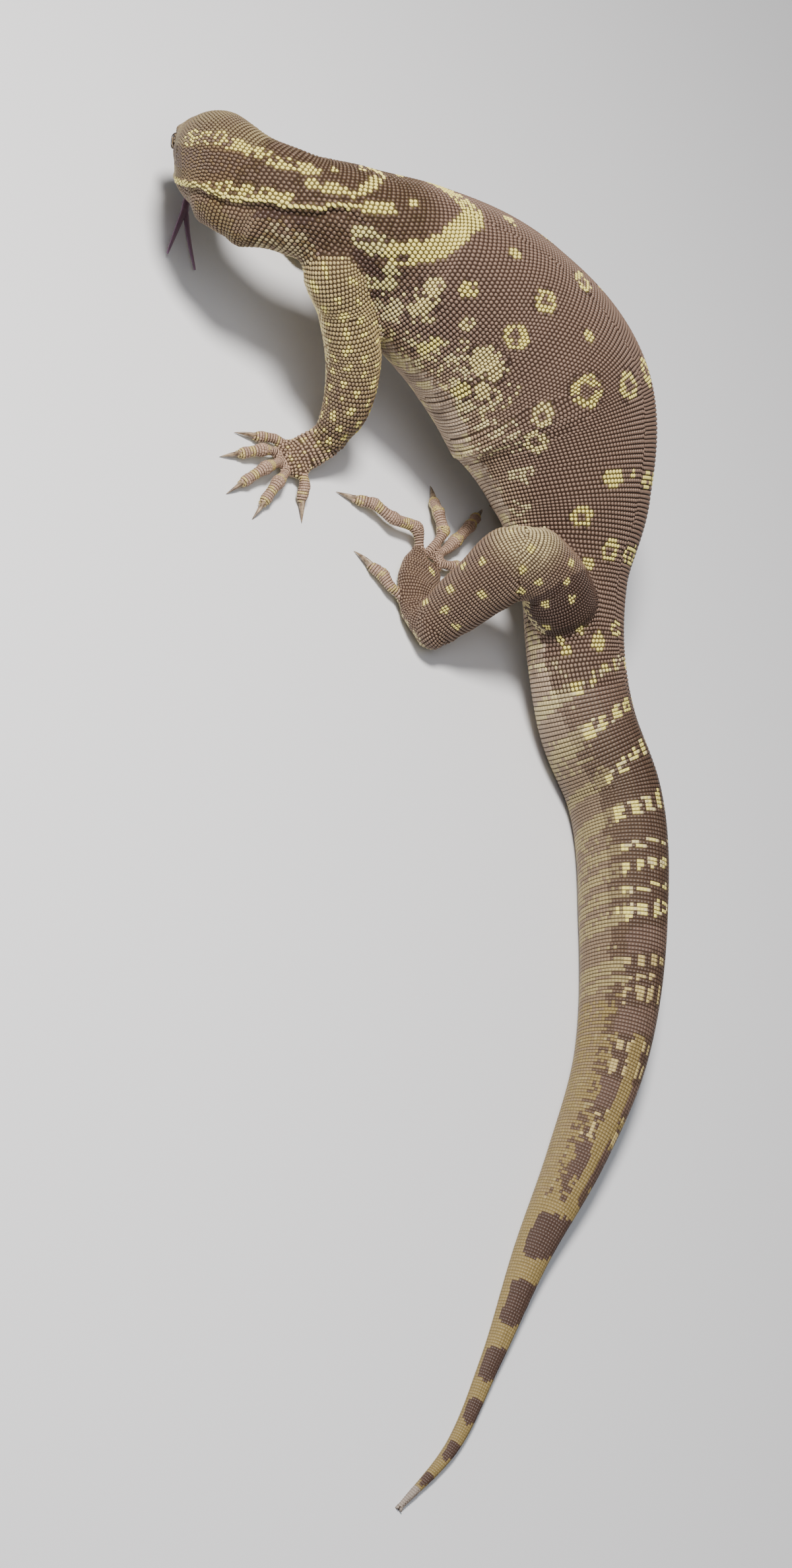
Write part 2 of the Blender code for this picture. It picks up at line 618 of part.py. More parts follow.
def main():
    for obj in list(bpy.data.objects):
        bpy.data.objects.remove(obj)
    model = bpy.data.collections.new("Water monitor")
    cutters = bpy.data.collections.new("Cutters")
    bpy.context.scene.collection.children.link(model)
    bpy.context.scene.collection.children.link(cutters)

    spine = Loft(body_sections())
    named = dict(zip(BODY, spine.knots[len(HEAD):]))
    tail_knots = spine.knots[len(HEAD) + len(BODY):]
    cuts = [named["occiput"], named["neck base"], named["vent"], tail_knots[2], tail_knots[4]]

    build_head(spine, named["occiput"], model, cutters)
    build_tongue(model, cutters)
    build_trunk_and_tail(spine, cuts, model, cutters)

    front_span = (named["nape"], named["middle"])
    rear_span = (named["middle"], tail_knots[1])
    limbs = [
        (LEFT_ARM, "upper_arm_left", "forearm_left", front_span, "hand_left", LEFT_HAND_PAD, LEFT_HAND),
        (RIGHT_ARM, "upper_arm_right", "forearm_right", front_span, "hand_right", RIGHT_HAND_PAD,
         RIGHT_HAND),
        (LEFT_LEG, "thigh_left", "shank_left", rear_span, "foot_left", LEFT_FOOT_PAD, LEFT_FOOT),
        (RIGHT_LEG, "thigh_right", "shank_right", rear_span, "foot_right", RIGHT_FOOT_PAD, RIGHT_FOOT),
    ]
    for stations, upper, lower, span, extremity, pad, digits in limbs:
        limb_rings = build_limb(stations, (upper, lower), spine, span, model, cutters)
        build_extremity(extremity, pad, digits, stations[-1], limb_rings, model, cutters)
    centre_on_floor(list(model.objects))


main()
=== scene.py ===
"""A water monitor lizard at life size, as a still museum model on a pale floor."""

import math
from collections import namedtuple

import bmesh
import bpy
import numpy as np
from mathutils import Matrix, Vector
from mathutils.bvhtree import BVHTree
from mathutils.kdtree import KDTree


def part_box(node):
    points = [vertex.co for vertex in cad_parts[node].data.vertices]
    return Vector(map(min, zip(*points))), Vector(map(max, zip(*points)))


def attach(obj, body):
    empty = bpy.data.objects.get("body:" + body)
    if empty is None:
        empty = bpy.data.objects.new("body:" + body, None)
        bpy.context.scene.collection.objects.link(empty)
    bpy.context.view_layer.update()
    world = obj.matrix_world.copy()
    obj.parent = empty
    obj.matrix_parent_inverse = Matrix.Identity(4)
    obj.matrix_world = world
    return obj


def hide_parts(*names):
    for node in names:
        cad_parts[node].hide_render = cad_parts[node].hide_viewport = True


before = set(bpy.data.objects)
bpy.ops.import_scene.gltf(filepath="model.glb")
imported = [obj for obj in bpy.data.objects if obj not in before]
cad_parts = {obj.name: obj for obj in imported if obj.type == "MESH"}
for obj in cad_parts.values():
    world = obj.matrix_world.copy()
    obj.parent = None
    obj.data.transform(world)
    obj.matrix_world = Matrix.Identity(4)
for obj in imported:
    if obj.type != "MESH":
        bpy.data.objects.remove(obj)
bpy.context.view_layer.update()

# The skin of the trunk, from the snout to the tip of the tail. On the real animal it is one
# tough hide of small beaded scales, loose at the throat and behind the arm and tight on the
# skull. It is made as a loft through measured sections, in millimetres, along a bent spine.
METRES = 0.001
SKIN_DEPTH = 0.55         # how far the bare skin lies inside the tops of the scales
Section = namedtuple("Section", "place half_width top widest bottom square up")
HeadSection = namedtuple("HeadSection", "x half_width top mouth bottom square")
TailSection = namedtuple("TailSection", "x y half_width half_height roll")

occiput = (-320, 61, 77)
head_aim = (-0.097, 0.534, -0.840)
head_up = (-0.865, 0.373, 0.336)
head_sections = [
    HeadSection(78.0, 2.5, 2.0, -1.5, -4.0, 2.0),
    HeadSection(76.5, 6.0, 6.5, -2.0, -6.0, 2.2),
    HeadSection(72.0, 9.2, 11.0, -2.2, -8.0, 2.4),
    HeadSection(62.0, 12.2, 14.5, -2.5, -10.5, 2.7),
    HeadSection(52.0, 14.5, 19.5, -3.0, -13.0, 3.1),
    HeadSection(41.0, 17.3, 24.0, -4.0, -16.5, 3.6),
    HeadSection(28.0, 20.2, 23.0, -6.0, -22.5, 3.3),
    HeadSection(14.0, 22.0, 21.5, -7.0, -32.0, 2.8),
]
trunk_sections = {
    "occiput": Section(occiput, 22.5, 19.5, -9.0, -40.5, 2.2, head_up),
    "nape": Section((-298, 62, 94), 21.5, 15.5, -6.0, -42.5, 2.0, (-0.74, 0.47, 0.48)),
    "throat": Section((-286, 65, 100), 22.5, 18.0, -4.0, -45.5, 2.0, (-0.66, 0.49, 0.56)),
    "neck": Section((-275, 69, 103), 23.5, 22.0, -1.0, -36.5, 2.1, (-0.58, 0.50, 0.64)),
    "neck base": Section((-252, 88, 106), 28.5, 30.5, -1.0, -33.0, 2.1, (-0.36, 0.33, 0.87)),
    "shoulders": Section((-221, 124, 101), 42.0, 44.0, -3.0, -46.0, 2.2, (-0.16, 0.18, 0.97)),
    "chest": Section((-173, 168, 93), 57.0, 56.5, -5.0, -55.0, 2.2, (-0.12, 0.17, 0.98)),
    "middle": Section((-115, 192, 84), 64.0, 57.0, -8.0, -58.0, 2.3, (-0.03, 0.21, 0.98)),
    "loin": Section((-64, 184, 70), 48.0, 43.0, -4.0, -43.0, 2.2, (0.08, 0.23, 0.97)),
    "hips": Section((-25, 167, 55), 34.0, 30.0, -1.0, -29.0, 2.1, (0.11, 0.23, 0.97)),
    "vent": Section((15, 149, 42), 28.0, 28.0, 0.0, -27.0, 2.1, (0.07, 0.30, 0.95)),
}
tail_sections = [
    TailSection(50, 142, 26.5, 28.5, 21),
    TailSection(91, 138, 23.5, 27.8, 25),
    TailSection(155, 93, 18.6, 25.4, 35),
    TailSection(213, 33, 13.3, 20.4, 45),
    TailSection(245, -26, 9.7, 16.0, 50),
    TailSection(272, -88, 6.0, 10.2, 55),
    TailSection(302, -149, 3.4, 5.6, 60),
    TailSection(323, -201, 2.4, 3.8, 62),
    TailSection(329, -250, 1.4, 1.8, 62),
]
tail_square = 1.85
tail_base_lift = 4.0
floor_dip = 0.4
snout_x = head_sections[0].x


def unit(vectors):
    vectors = np.asarray(vectors, float)
    return vectors / np.linalg.norm(vectors, axis=-1, keepdims=True)


class Loft:
    """A smooth surface along a path; s is the distance along it, angle goes round it."""

    def __init__(self, sections):
        self.rows = np.array([[*p.place, p.half_width, p.top, p.widest, p.bottom, p.square, *p.up]
                              for p in sections], float)
        steps = np.linalg.norm(np.diff(self.rows[:, :3], axis=0), axis=1)
        self.knots = np.concatenate([[0.0], np.cumsum(steps)])
        self.slopes = np.gradient(self.rows, self.knots, axis=0)
        self.length = self.knots[-1]

    def at(self, s):
        i = np.clip(np.searchsorted(self.knots, s, side="right") - 1, 0, len(self.knots) - 2)
        span = (self.knots[i + 1] - self.knots[i])[:, None]
        t = (s - self.knots[i])[:, None] / span
        a, b = self.rows[i], self.rows[i + 1]
        da, db = self.slopes[i] * span, self.slopes[i + 1] * span
        value = (a * (2 * t**3 - 3 * t**2 + 1) + da * (t**3 - 2 * t**2 + t)
                 + b * (3 * t**2 - 2 * t**3) + db * (t**3 - t**2))
        slope = (a * (6 * t**2 - 6 * t) + da * (3 * t**2 - 4 * t + 1)
                 + b * (6 * t - 6 * t**2) + db * (3 * t**2 - 2 * t)) / span
        return value, slope[:, :3]

    def surface(self, s, angle, swell=0.0, relief=None):
        """Points for arrays of s and angle: 0 is the left side, a quarter turn is the back."""
        value, slope = self.at(s)
        forward = -unit(slope)
        left = unit(np.cross(value[:, 8:11], forward))
        up = np.cross(forward, left)
        half_width, top, widest, bottom, square = value[:, 3:8].T
        c, n = np.cos(angle), np.sin(angle)
        across = np.sign(c) * np.abs(c) ** (2 / square) * half_width
        reach = np.where(n > 0, top - widest, widest - bottom)
        rise = widest + np.sign(n) * np.abs(n) ** (2 / square) * reach
        outwards = unit(left * (across / np.maximum(half_width, 1e-6) ** 2)[:, None]
                        + up * ((rise - widest) / np.maximum(reach, 1e-6) ** 2)[:, None])
        lift = swell + (relief(s, angle) if relief else 0.0)
        lift = np.broadcast_to(lift, s.shape)[:, None]
        return value[:, :3] + left * across[:, None] + up * rise[:, None] + outwards * lift


def tail_place(index):
    """Where a tail section's centre lies, resting on the floor, and which way its top faces."""
    part = tail_sections[index]
    roll = math.radians(part.roll)
    power = tail_square / (tail_square - 1)
    support = ((part.half_width * math.sin(roll)) ** power
               + (part.half_height * math.cos(roll)) ** power) ** (1 / power)
    ahead = tail_sections[max(index - 1, 0)]
    behind = tail_sections[min(index + 1, len(tail_sections) - 1)]
    right = unit((ahead.y - behind.y, behind.x - ahead.x, 0.0))
    lift = tail_base_lift if index == 0 else -floor_dip
    return ((part.x, part.y, support + lift),
            right * math.sin(roll) + np.array((0.0, 0.0, math.cos(roll))))


sections = [Section(np.array(occiput) + unit(head_aim) * h.x, h.half_width, h.top, h.mouth,
                    h.bottom, h.square, head_up) for h in head_sections]
sections += trunk_sections.values()
for index, part in enumerate(tail_sections):
    place, facing = tail_place(index)
    sections.append(Section(place, part.half_width, part.half_height, 0.0, -part.half_height,
                            tail_square, facing))
body = Loft(sections)
station = dict(zip(trunk_sections, body.knots[len(head_sections):]))
tail_start = body.knots[len(head_sections) + len(trunk_sections)]
mouth_corner = snout_x - 24.0
eye_at = np.array((41.0, 14.4, 12.0))
eye_radius = 4.6


def bump(distance, width):
    return np.exp(-(distance / width) ** 2)


def arm_pleats(s, rise):
    """Waves of the loose skin behind the arm, from -1 in a furrow to 1 on a ridge."""
    return np.cos(2 * np.pi * (s * 0.55 - 0.33 * rise) / 6.5)


# the line of the jaw fold: distance from the snout, and degrees round the side of the body
jaw_fold = [(56, -13), (66, -16), (76, -21), (88, -29), (95, -33), (103, -33), (113, -26), (121, -19),
            (130, -17), (134, -12), (139, -5), (143, 6), (150, 20)]


def body_relief(s, angle):
    """Lips and mouth line, brows, the folds of the throat and neck, pleats behind the arm."""
    side = np.abs(np.sin(angle))
    fade = np.clip((mouth_corner - s) / 6.0, 0, 1) * np.clip(s / 3.0, 0, 1)
    lift = fade * (0.7 * bump(side - 0.14, 0.09) - 1.3 * bump(side, 0.035))
    rise = np.degrees(np.arcsin(np.clip(np.sin(angle), -1, 1)))
    lift = lift + 1.6 * bump(s - (snout_x - eye_at[0]), 9.0) * bump(rise - 42.0, 9.0)
    # temples swell behind the eye, where the jaw muscles lie
    lift = lift + 0.8 * bump(s - station["occiput"] + 6, 13.0) * bump(rise - 22.0, 20.0)
    # a narrow fold runs from the corner of the mouth along the jaw and the side of the neck
    along = np.clip((s - mouth_corner) / 10.0, 0, 1) * np.clip((165.0 - s) / 20.0, 0, 1)
    off_fold = rise - np.interp(s, *zip(*jaw_fold))
    lift = lift + along * (1.9 * bump(off_fold, 3.4) - 1.5 * bump(off_fold + 8.0, 5.0))
    # cross folds of the loose throat, its pouch, and the dent behind the pouch
    throat = bump(s - station["neck"] + 4, 24.0) * bump(rise + 52.0, 30.0)
    lift = lift + throat * 0.9 * np.cos(2 * np.pi * (s + 0.12 * rise) / 13.0)
    lift = lift + 1.2 * bump(s - 100.0, 10.0) * bump(rise + 72.0, 28.0)
    lift = lift - 1.7 * bump(s - 117.0, 5.0) * bump(rise + 85.0, 26.0)
    # pleats behind the arm and in front of the thigh
    axilla = bump(s - 172.0, 13.0) * bump(rise + 1.0, 22.0)
    lift = lift + axilla * 1.1 * arm_pleats(s, rise)
    flank = bump(s - station["chest"] - 40, 70.0) * bump(rise + 25.0, 28.0)
    return lift + flank * 0.35 * np.cos(2 * np.pi * s / 7.5)


def new_object(name, data):
    obj = bpy.data.objects.new(name, data)
    bpy.context.scene.collection.objects.link(obj)
    return obj


def closed_object(name, points, faces):
    """A mesh object from points in metres, with every face turned outwards."""
    mesh = bpy.data.meshes.new(name)
    mesh.from_pydata(np.asarray(points).tolist(), [], faces)
    bm = bmesh.new()
    bm.from_mesh(mesh)
    bmesh.ops.recalc_face_normals(bm, faces=bm.faces)
    bm.to_mesh(mesh)
    bm.free()
    return new_object(name, mesh)


def closed_grid(name, loft, distances, angles, swell, relief=None):
    """A closed mesh object on rings of the loft, with a fan over each end."""
    sides = len(angles)
    s = np.repeat(distances, sides)
    angle = np.tile(angles, len(distances))
    points = loft.surface(s, angle, swell, relief)
    ends = [points[:sides].mean(axis=0), points[-sides:].mean(axis=0)]
    points = np.vstack([points, ends]) * METRES
    first, last = len(points) - 2, len(points) - 1
    faces = []
    for i in range(len(distances) - 1):
        for k in range(sides):
            a, b = i * sides + k, i * sides + (k + 1) % sides
            faces.append((b, a, a + sides, b + sides))
    for k in range(sides):
        after = (k + 1) % sides
        faces.append((first, k, after))
        end = (len(distances) - 1) * sides
        faces.append((last, end + after, end + k))
    return closed_object(name, points, faces)


def even_angles(sides):
    return np.arange(sides) * 2 * np.pi / sides


# the rings stand closer on the head, and more points lie on them beside the lips
body_sides = 128
head_ring_step = 1.3
trunk_ring_step = 2.4
beside_mouth = np.radians([1.2, -1.2, 2.5, -2.5]) % (2 * np.pi)
body_angles = np.concatenate([even_angles(body_sides), beside_mouth, np.pi - beside_mouth + 2 * np.pi])
body_angles = np.unique(body_angles % (2 * np.pi))
head_rings = np.arange(0.0, station["neck base"], head_ring_step)
trunk_rings = np.arange(station["neck base"], body.length, trunk_ring_step)
body_rings = np.concatenate([head_rings, trunk_rings, [body.length]])
skin = closed_grid("skin", body, body_rings, body_angles, -SKIN_DEPTH, body_relief)

# The limbs, hands and feet. Each is a bent tube of muscle under the same skin; a hand or
# foot is a flat pad with five digits that swell at their knuckles. They are lofted along
# the bones like the trunk and grown together with it.
left_arm = [((-252, 90, 103), 15, 15), ((-237, 74, 97), 19, 19), ((-211, 81, 80), 16.5, 16.5),
            ((-187, 87, 60), 15, 15.5), ((-169, 86, 40), 13.5, 13), ((-160, 83, 21), 10.5, 9)]
right_arm = [((-238, 112, 98), 15, 15), ((-252, 132, 86), 19, 19), ((-250, 154, 69), 16.5, 16.5),
             ((-243, 173, 51), 14.5, 14.5), ((-250, 180, 34), 12.5, 12), ((-263, 171, 19), 10.5, 9)]
left_leg = [((-8, 165, 52), 17, 17), ((-14, 141, 61), 21, 21), ((-34, 127, 72), 20, 20),
            ((-50, 116, 75), 18.5, 17.5), ((-46, 100, 44), 17.5, 17.5), ((-42, 88, 17), 15, 13)]
right_leg = [((-14, 166, 51), 17, 17), ((-10, 183, 45), 19.5, 19.5), ((-28, 198, 45), 19, 18.5),
             ((-42, 207, 42), 17, 17), ((-24, 212, 27), 15.5, 15), ((-6, 214, 16), 11, 10)]
joint_reach = 0.62        # how far a bone's rounded end passes the joint, in half heights
joint_taper = 0.6         # the size of that end, as a share of the joint's
elbow = 3                 # which station of a limb is its elbow or knee
gentle_bend = 0.6         # a limb bent less than this cosine is one tube

left_hand_pad = [((-160, 82, 18), 10.5, 8.5), ((-160, 70, 7.5), 11, 7.7), ((-160, 57, 4.7), 11, 5.2)]
left_hand = {
    1: [(-164, 68, 8), (-174, 59, 7), (-181, 49, 3.3)],
    2: [(-164, 62, 6), (-171, 44, 8), (-175, 30, 3.3)],
    3: [(-161, 60, 6), (-161, 38, 9), (-159, 20, 3.3)],
    4: [(-157, 62, 6), (-151, 42, 8), (-144, 27, 3.3)],
    5: [(-155, 68, 8), (-144, 60, 8), (-136, 56, 3.3)],
}
right_hand_pad = [((-265, 166, 17), 10.5, 8.5), ((-276, 162, 7.5), 11, 7.7), ((-289, 160, 4.7), 11, 5.2)]
right_hand = {
    1: [(-277, 156, 8), (-284, 147, 7), (-291, 140, 3.3)],
    2: [(-283, 156, 6), (-298, 149, 8), (-310, 144, 3.3)],
    3: [(-285, 159, 6), (-305, 157, 9), (-320, 156, 3.3)],
    4: [(-283, 163, 6), (-302, 167, 8), (-315, 171, 3.3)],
    5: [(-277, 167, 8), (-285, 176, 8), (-290, 183, 3.3)],
}
left_foot_pad = [((-42, 88, 16), 14.5, 12), ((-49, 91, 9), 14.5, 9), ((-64, 101, 7.4), 14, 7.8),
                 ((-77, 122, 6), 13, 6)]
left_foot = {
    1: [(-72, 128, 7), (-66, 140, 7), (-62, 152, 3.3)],
    2: [(-75, 126, 6), (-79, 152, 7), (-83, 169, 8), (-87, 186, 3.3)],
    3: [(-79, 122, 6), (-87, 143, 10), (-98, 149, 9), (-107, 158, 3.3)],
    4: [(-77, 116, 6), (-95, 122, 11), (-106, 110, 10), (-118, 104, 8), (-126, 97, 3.3)],
    5: [(-58, 94, 7), (-70, 83, 7), (-80, 82, 6), (-89, 80, 3.3)],
}
right_foot_pad = [((-5, 214, 15), 11, 10), ((-12, 216, 9), 13, 8.5), ((-27, 220, 7.4), 13.5, 7.8),
                  ((-46, 223, 6), 13, 6)]
right_foot = {
    1: [(-43, 219, 7), (-55, 210, 7), (-63, 205, 3.3)],
    2: [(-47, 219, 6), (-63, 211, 7), (-79, 207, 3.3)],
    3: [(-48, 222, 6), (-67, 220, 10), (-84, 219, 9), (-97, 218, 3.3)],
    4: [(-47, 226, 6), (-67, 231, 11), (-85, 236, 10), (-100, 240, 8), (-111, 243, 3.3)],
    5: [(-29, 226, 7), (-38, 239, 8), (-47, 248, 7), (-54, 253, 3.3)],
}
digit_root = 4.6
digit_end = 3.6
digit_waist = 0.8
knuckle_swell = 1.2
limb_sides, limb_ring_step = 36, 2.2
digit_sides, digit_ring_step = 16, 1.5
ball_turn, ball_rings = 1.35, 9


def tube_loft(stations):
    return Loft([Section(place, width, height, 0.0, -height, 2.0, (0.0, 0.0, 1.0))
                 for place, width, height in stations])


def rounded_end(before, last):
    place, width, height = last
    ahead = unit(np.subtract(place, before[0]))
    return (tuple(np.array(place) + ahead * joint_reach * height), joint_taper * width,
            joint_taper * height)


def knuckles(loft):
    """Relief of a digit: it swells where each bone meets the next and is waisted between."""
    joints = loft.knots[1:-1]

    def relief(s, angle):
        lift = -digit_waist * np.ones_like(s)
        for joint in joints:
            lift = lift + knuckle_swell * bump(s - joint, 2.8) * (0.6 + 0.4 * np.sin(angle))
        return lift + 0.5 * bump(s - loft.length + 4.5, 2.5) - digit_waist * bump(s - loft.length, 2.0)
    return relief


def rings_along(loft, step):
    return np.linspace(0, loft.length, int(loft.length / step) + 2)


limb_lofts = []
heels = []
digit_lofts = []
for limb, pad, digits in ((left_arm, left_hand_pad, left_hand), (right_arm, right_hand_pad, right_hand),
                          (left_leg, left_foot_pad, left_foot), (right_leg, right_foot_pad, right_foot)):
    upper_way = unit(np.subtract(limb[elbow][0], limb[elbow - 1][0]))
    lower_way = unit(np.subtract(limb[elbow + 1][0], limb[elbow][0]))
    if upper_way @ lower_way > gentle_bend:
        limb_lofts.append(tube_loft(limb))
    else:
        limb_lofts.append(tube_loft(limb[:elbow + 1] + [rounded_end(limb[elbow - 1], limb[elbow])]))
        limb_lofts.append(tube_loft([rounded_end(limb[elbow + 1], limb[elbow])] + limb[elbow:]))
    heels.append(limb[-1])
    limb_lofts.append(tube_loft(pad))
    for places in digits.values():
        count = len(places) - 1
        radii = [digit_root + (digit_end - digit_root) * k / count for k in range(count + 1)]
        digit_lofts.append(tube_loft([(place, r, r) for place, r in zip(places, radii)]))

for place, half_width, _ in heels:
    # the ball of the wrist or heel, as a short loft from pole to pole
    turns = np.linspace(-ball_turn, ball_turn, ball_rings)
    limb_lofts.append(tube_loft([(tuple(np.array(place) + (half_width * math.sin(t), 0, 0)),
                                  half_width * math.cos(t), half_width * math.cos(t)) for t in turns]))
grown_on = bpy.data.collections.new("Grown on")
bpy.context.scene.collection.children.link(grown_on)
limbs = [closed_grid("limb", loft, rings_along(loft, limb_ring_step), even_angles(limb_sides),
                     -SKIN_DEPTH) for loft in limb_lofts]
limbs += [closed_grid("digit", loft, rings_along(loft, digit_ring_step), even_angles(digit_sides),
                      -SKIN_DEPTH / 2, knuckles(loft)) for loft in digit_lofts]


def evaluated_mesh(obj):
    graph = bpy.context.evaluated_depsgraph_get()
    return bpy.data.meshes.new_from_object(obj.evaluated_get(graph))


def grow_together(obj, parts, operation):
    """Union or difference of obj with all the parts, which are then gone."""
    for part in parts:
        bpy.context.scene.collection.objects.unlink(part)
        grown_on.objects.link(part)
    modifier = obj.modifiers.new("grow", "BOOLEAN")
    modifier.operation = operation
    modifier.operand_type = "COLLECTION"
    modifier.collection = grown_on
    modifier.solver = "MANIFOLD"
    obj.data = evaluated_mesh(obj)
    obj.modifiers.clear()
    for part in parts:
        bpy.data.objects.remove(part)


def mesh_points(mesh):
    points = np.empty(len(mesh.vertices) * 3)
    mesh.vertices.foreach_get("co", points)
    return points.reshape(-1, 3)


before = mesh_points(skin.data)
for part in limbs:
    before = np.vstack([before, mesh_points(part.data)])
grow_together(skin, limbs, "UNION")


def tree_of(places):
    tree = KDTree(len(places))
    for i, place in enumerate(places):
        tree.insert(place, i)
    tree.balance()
    return tree


# all in metres but the share by which a point moves towards its neighbours in one round
seam_reach = 0.010
seam_rounds = 25
seam_pull = 0.6
new_point_distance = 2e-6
skin_above_floor = 0.0003


def soften_seams(mesh, known_points, reach, rounds):
    """Smooths the skin within reach of the lines where the limbs meet the trunk."""
    points = mesh_points(mesh)
    tree = tree_of(known_points)
    seam = [i for i, point in enumerate(points) if tree.find(point)[2] > new_point_distance]
    near = tree_of(points[seam])
    distance = np.array([near.find(point)[2] for point in points])
    weight = np.clip(1.2 * (1 - distance / reach), 0.0, 1.0)[:, None]
    edges = np.empty(len(mesh.edges) * 2, int)
    mesh.edges.foreach_get("vertices", edges)
    a, b = edges.reshape(-1, 2).T
    count = len(points)
    degree = np.bincount(a, minlength=count) + np.bincount(b, minlength=count)
    for _ in range(rounds):
        total = np.stack([np.bincount(a, points[b, k], count) + np.bincount(b, points[a, k], count)
                          for k in range(3)], axis=1)
        points += seam_pull * weight * (total / degree[:, None] - points)
    points[:, 2] = np.maximum(points[:, 2], skin_above_floor)
    mesh.vertices.foreach_set("co", points.ravel())
    mesh.update()


soften_seams(skin.data, before, seam_reach, seam_rounds)

# The eyes, the lids round them, the ears and the nostrils. The lids are thick rims of skin,
# the ear is an open cup with its drum a little way in, and the nostril is a plain hole.
head_forward = unit(head_aim)
head_left = unit(np.cross(head_up, head_forward))
head_axes = np.column_stack([head_forward, head_left, np.cross(head_forward, head_left)])
ear_at = (10.0, 24.0, -1.0)
ear_size = (3.2, 4.2, 5.5)
nostril_at = (69.5, 9.3, 5.5)
nostril_size = (2.3, 1.8, 1.4)
lid_reach = eye_radius - 0.3
lid_thickness = 1.15
lid_outset = 2.6
lid_lengthening = 1.16


def head_point(at, side):
    return np.array(occiput) + head_axes @ (np.array(at) * (1, side, 1))


def ball(name, centre, axes, sizes, segments):
    bm = bmesh.new()
    bmesh.ops.create_uvsphere(bm, u_segments=segments, v_segments=segments // 2, radius=1.0)
    for vertex in bm.verts:
        vertex.co = (np.asarray(centre) + axes @ (np.array(vertex.co[:]) * sizes)) * METRES
    mesh = bpy.data.meshes.new(name)
    bm.to_mesh(mesh)
    bm.free()
    return new_object(name, mesh)


def lid_rim(name, side):
    """A ring of skin, a little longer than high, with the corners of the eye drawn in."""
    around, across = 40, 10
    centre = head_point(eye_at + (0, lid_outset, 0), side)
    axes = head_axes * (1, side, 1)
    points, faces = [], []
    for i in range(around):
        turn = 2 * math.pi * i / around
        for j in range(across):
            tilt = 2 * math.pi * j / across
            reach = lid_reach + lid_thickness * math.cos(tilt)
            high = 0.86 + 0.08 * math.cos(2 * turn)
            local = (reach * math.cos(turn) * lid_lengthening, lid_thickness * math.sin(tilt),
                     reach * math.sin(turn) * high)
            points.append((centre + axes @ np.array(local)) * METRES)
            a, b = i * across + j, i * across + (j + 1) % across
            c, d = ((i + 1) % around) * across + (j + 1) % across, ((i + 1) % around) * across + j
            faces.append((a, b, c, d))
    return closed_object(name, points, faces)


grow_together(skin, [lid_rim("lid", side) for side in (1, -1)], "UNION")
hollows = []
for side in (1, -1):
    for name, at, sizes, segments in (("socket", eye_at, [eye_radius + 0.1] * 3, 32),
                                      ("ear", ear_at, ear_size, 20),
                                      ("nostril", nostril_at, nostril_size, 14)):
        hollows.append(ball(name, head_point(at, side), head_axes, sizes, segments))
grow_together(skin, hollows, "DIFFERENCE")

low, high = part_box("eye_left")
slide = (np.array(low) + np.array(high)) / 2 - head_point(eye_at, 1) * METRES


def shade_smooth(mesh):
    for polygon in mesh.polygons:
        polygon.use_smooth = True


def settle(obj):
    """Slides a piece built round the spine's own origin to its place over the model's origin."""
    points = mesh_points(obj.data) + slide
    points[:, 2] = np.maximum(points[:, 2], 0.0)
    obj.data.vertices.foreach_set("co", points.ravel())
    shade_smooth(obj.data)
    obj.data.update()


def put_attribute(mesh, name, kind, values):
    """Stores a value, vector or colour for each point of a mesh."""
    field = {"FLOAT": "value", "FLOAT_VECTOR": "vector", "FLOAT_COLOR": "color"}[kind]
    mesh.attributes.new(name, kind, "POINT").data.foreach_set(field, np.ravel(values))


def linear(code):
    """An sRGB hex colour as linear red, green and blue."""
    values = [int(code[i:i + 2], 16) / 255 for i in (1, 3, 5)]
    return [v / 12.92 if v <= 0.04045 else ((v + 0.055) / 1.055) ** 2.4 for v in values]


def rgba(code):
    return (*linear(code), 1.0)


def add(tree, kind, inputs=None, **settings):
    """Adds one node; inputs holds a value or another node's output for each named socket."""
    node = tree.nodes.new(kind)
    for name, value in settings.items():
        setattr(node, name, value)
    for name, value in (inputs or {}).items():
        if isinstance(value, bpy.types.NodeSocket):
            tree.links.new(value, node.inputs[name])
        else:
            node.inputs[name].default_value = value
    return node


def new_material(name, values):
    """A material, with the values that its shader's sockets are set to."""
    material = bpy.data.materials.new(name)
    material.use_nodes = True
    tree = material.node_tree
    shader = tree.nodes["Principled BSDF"]
    for socket, value in values.items():
        shader.inputs[socket].default_value = value
    return material, tree, shader


# wet cornea over a dark brown iris with a thin golden ring round the pupil: dark, with a glint
eye_surface, tree, shader = new_material("wet cornea", {"Roughness": 0.08, "Specular IOR Level": 0.3})
gaze = add(tree, "ShaderNodeAttribute", attribute_name="gaze")
iris = add(tree, "ShaderNodeValToRGB", {"Fac": gaze.outputs["Fac"]})
for place_in, code in ((0.80, "#2A1D15"), (0.865, "#4A3420"), (0.905, "#A98443"), (0.925, "#0C0907")):
    stop = iris.color_ramp.elements.new(place_in)
    stop.color = rgba(code)
iris.color_ramp.elements[0].color = rgba("#2A1D15")
iris.color_ramp.elements[-1].color = rgba("#0C0907")
tree.links.new(iris.outputs["Color"], shader.inputs["Base Color"])
for side, node in ((1, "eye_left"), (-1, "eye_right")):
    centre = head_point(eye_at, side)
    eye = ball(node.replace("eye", "eyeball"), centre, head_axes, [eye_radius] * 3, 48)
    looks = unit(mesh_points(eye.data) - centre * METRES) @ (head_axes[:, 1] * side)
    put_attribute(eye.data, "gaze", "FLOAT", np.clip(looks, 0.0, 1.0))
    eye.data.materials.append(eye_surface)
    settle(eye)
    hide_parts(node)
    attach(eye, "root")

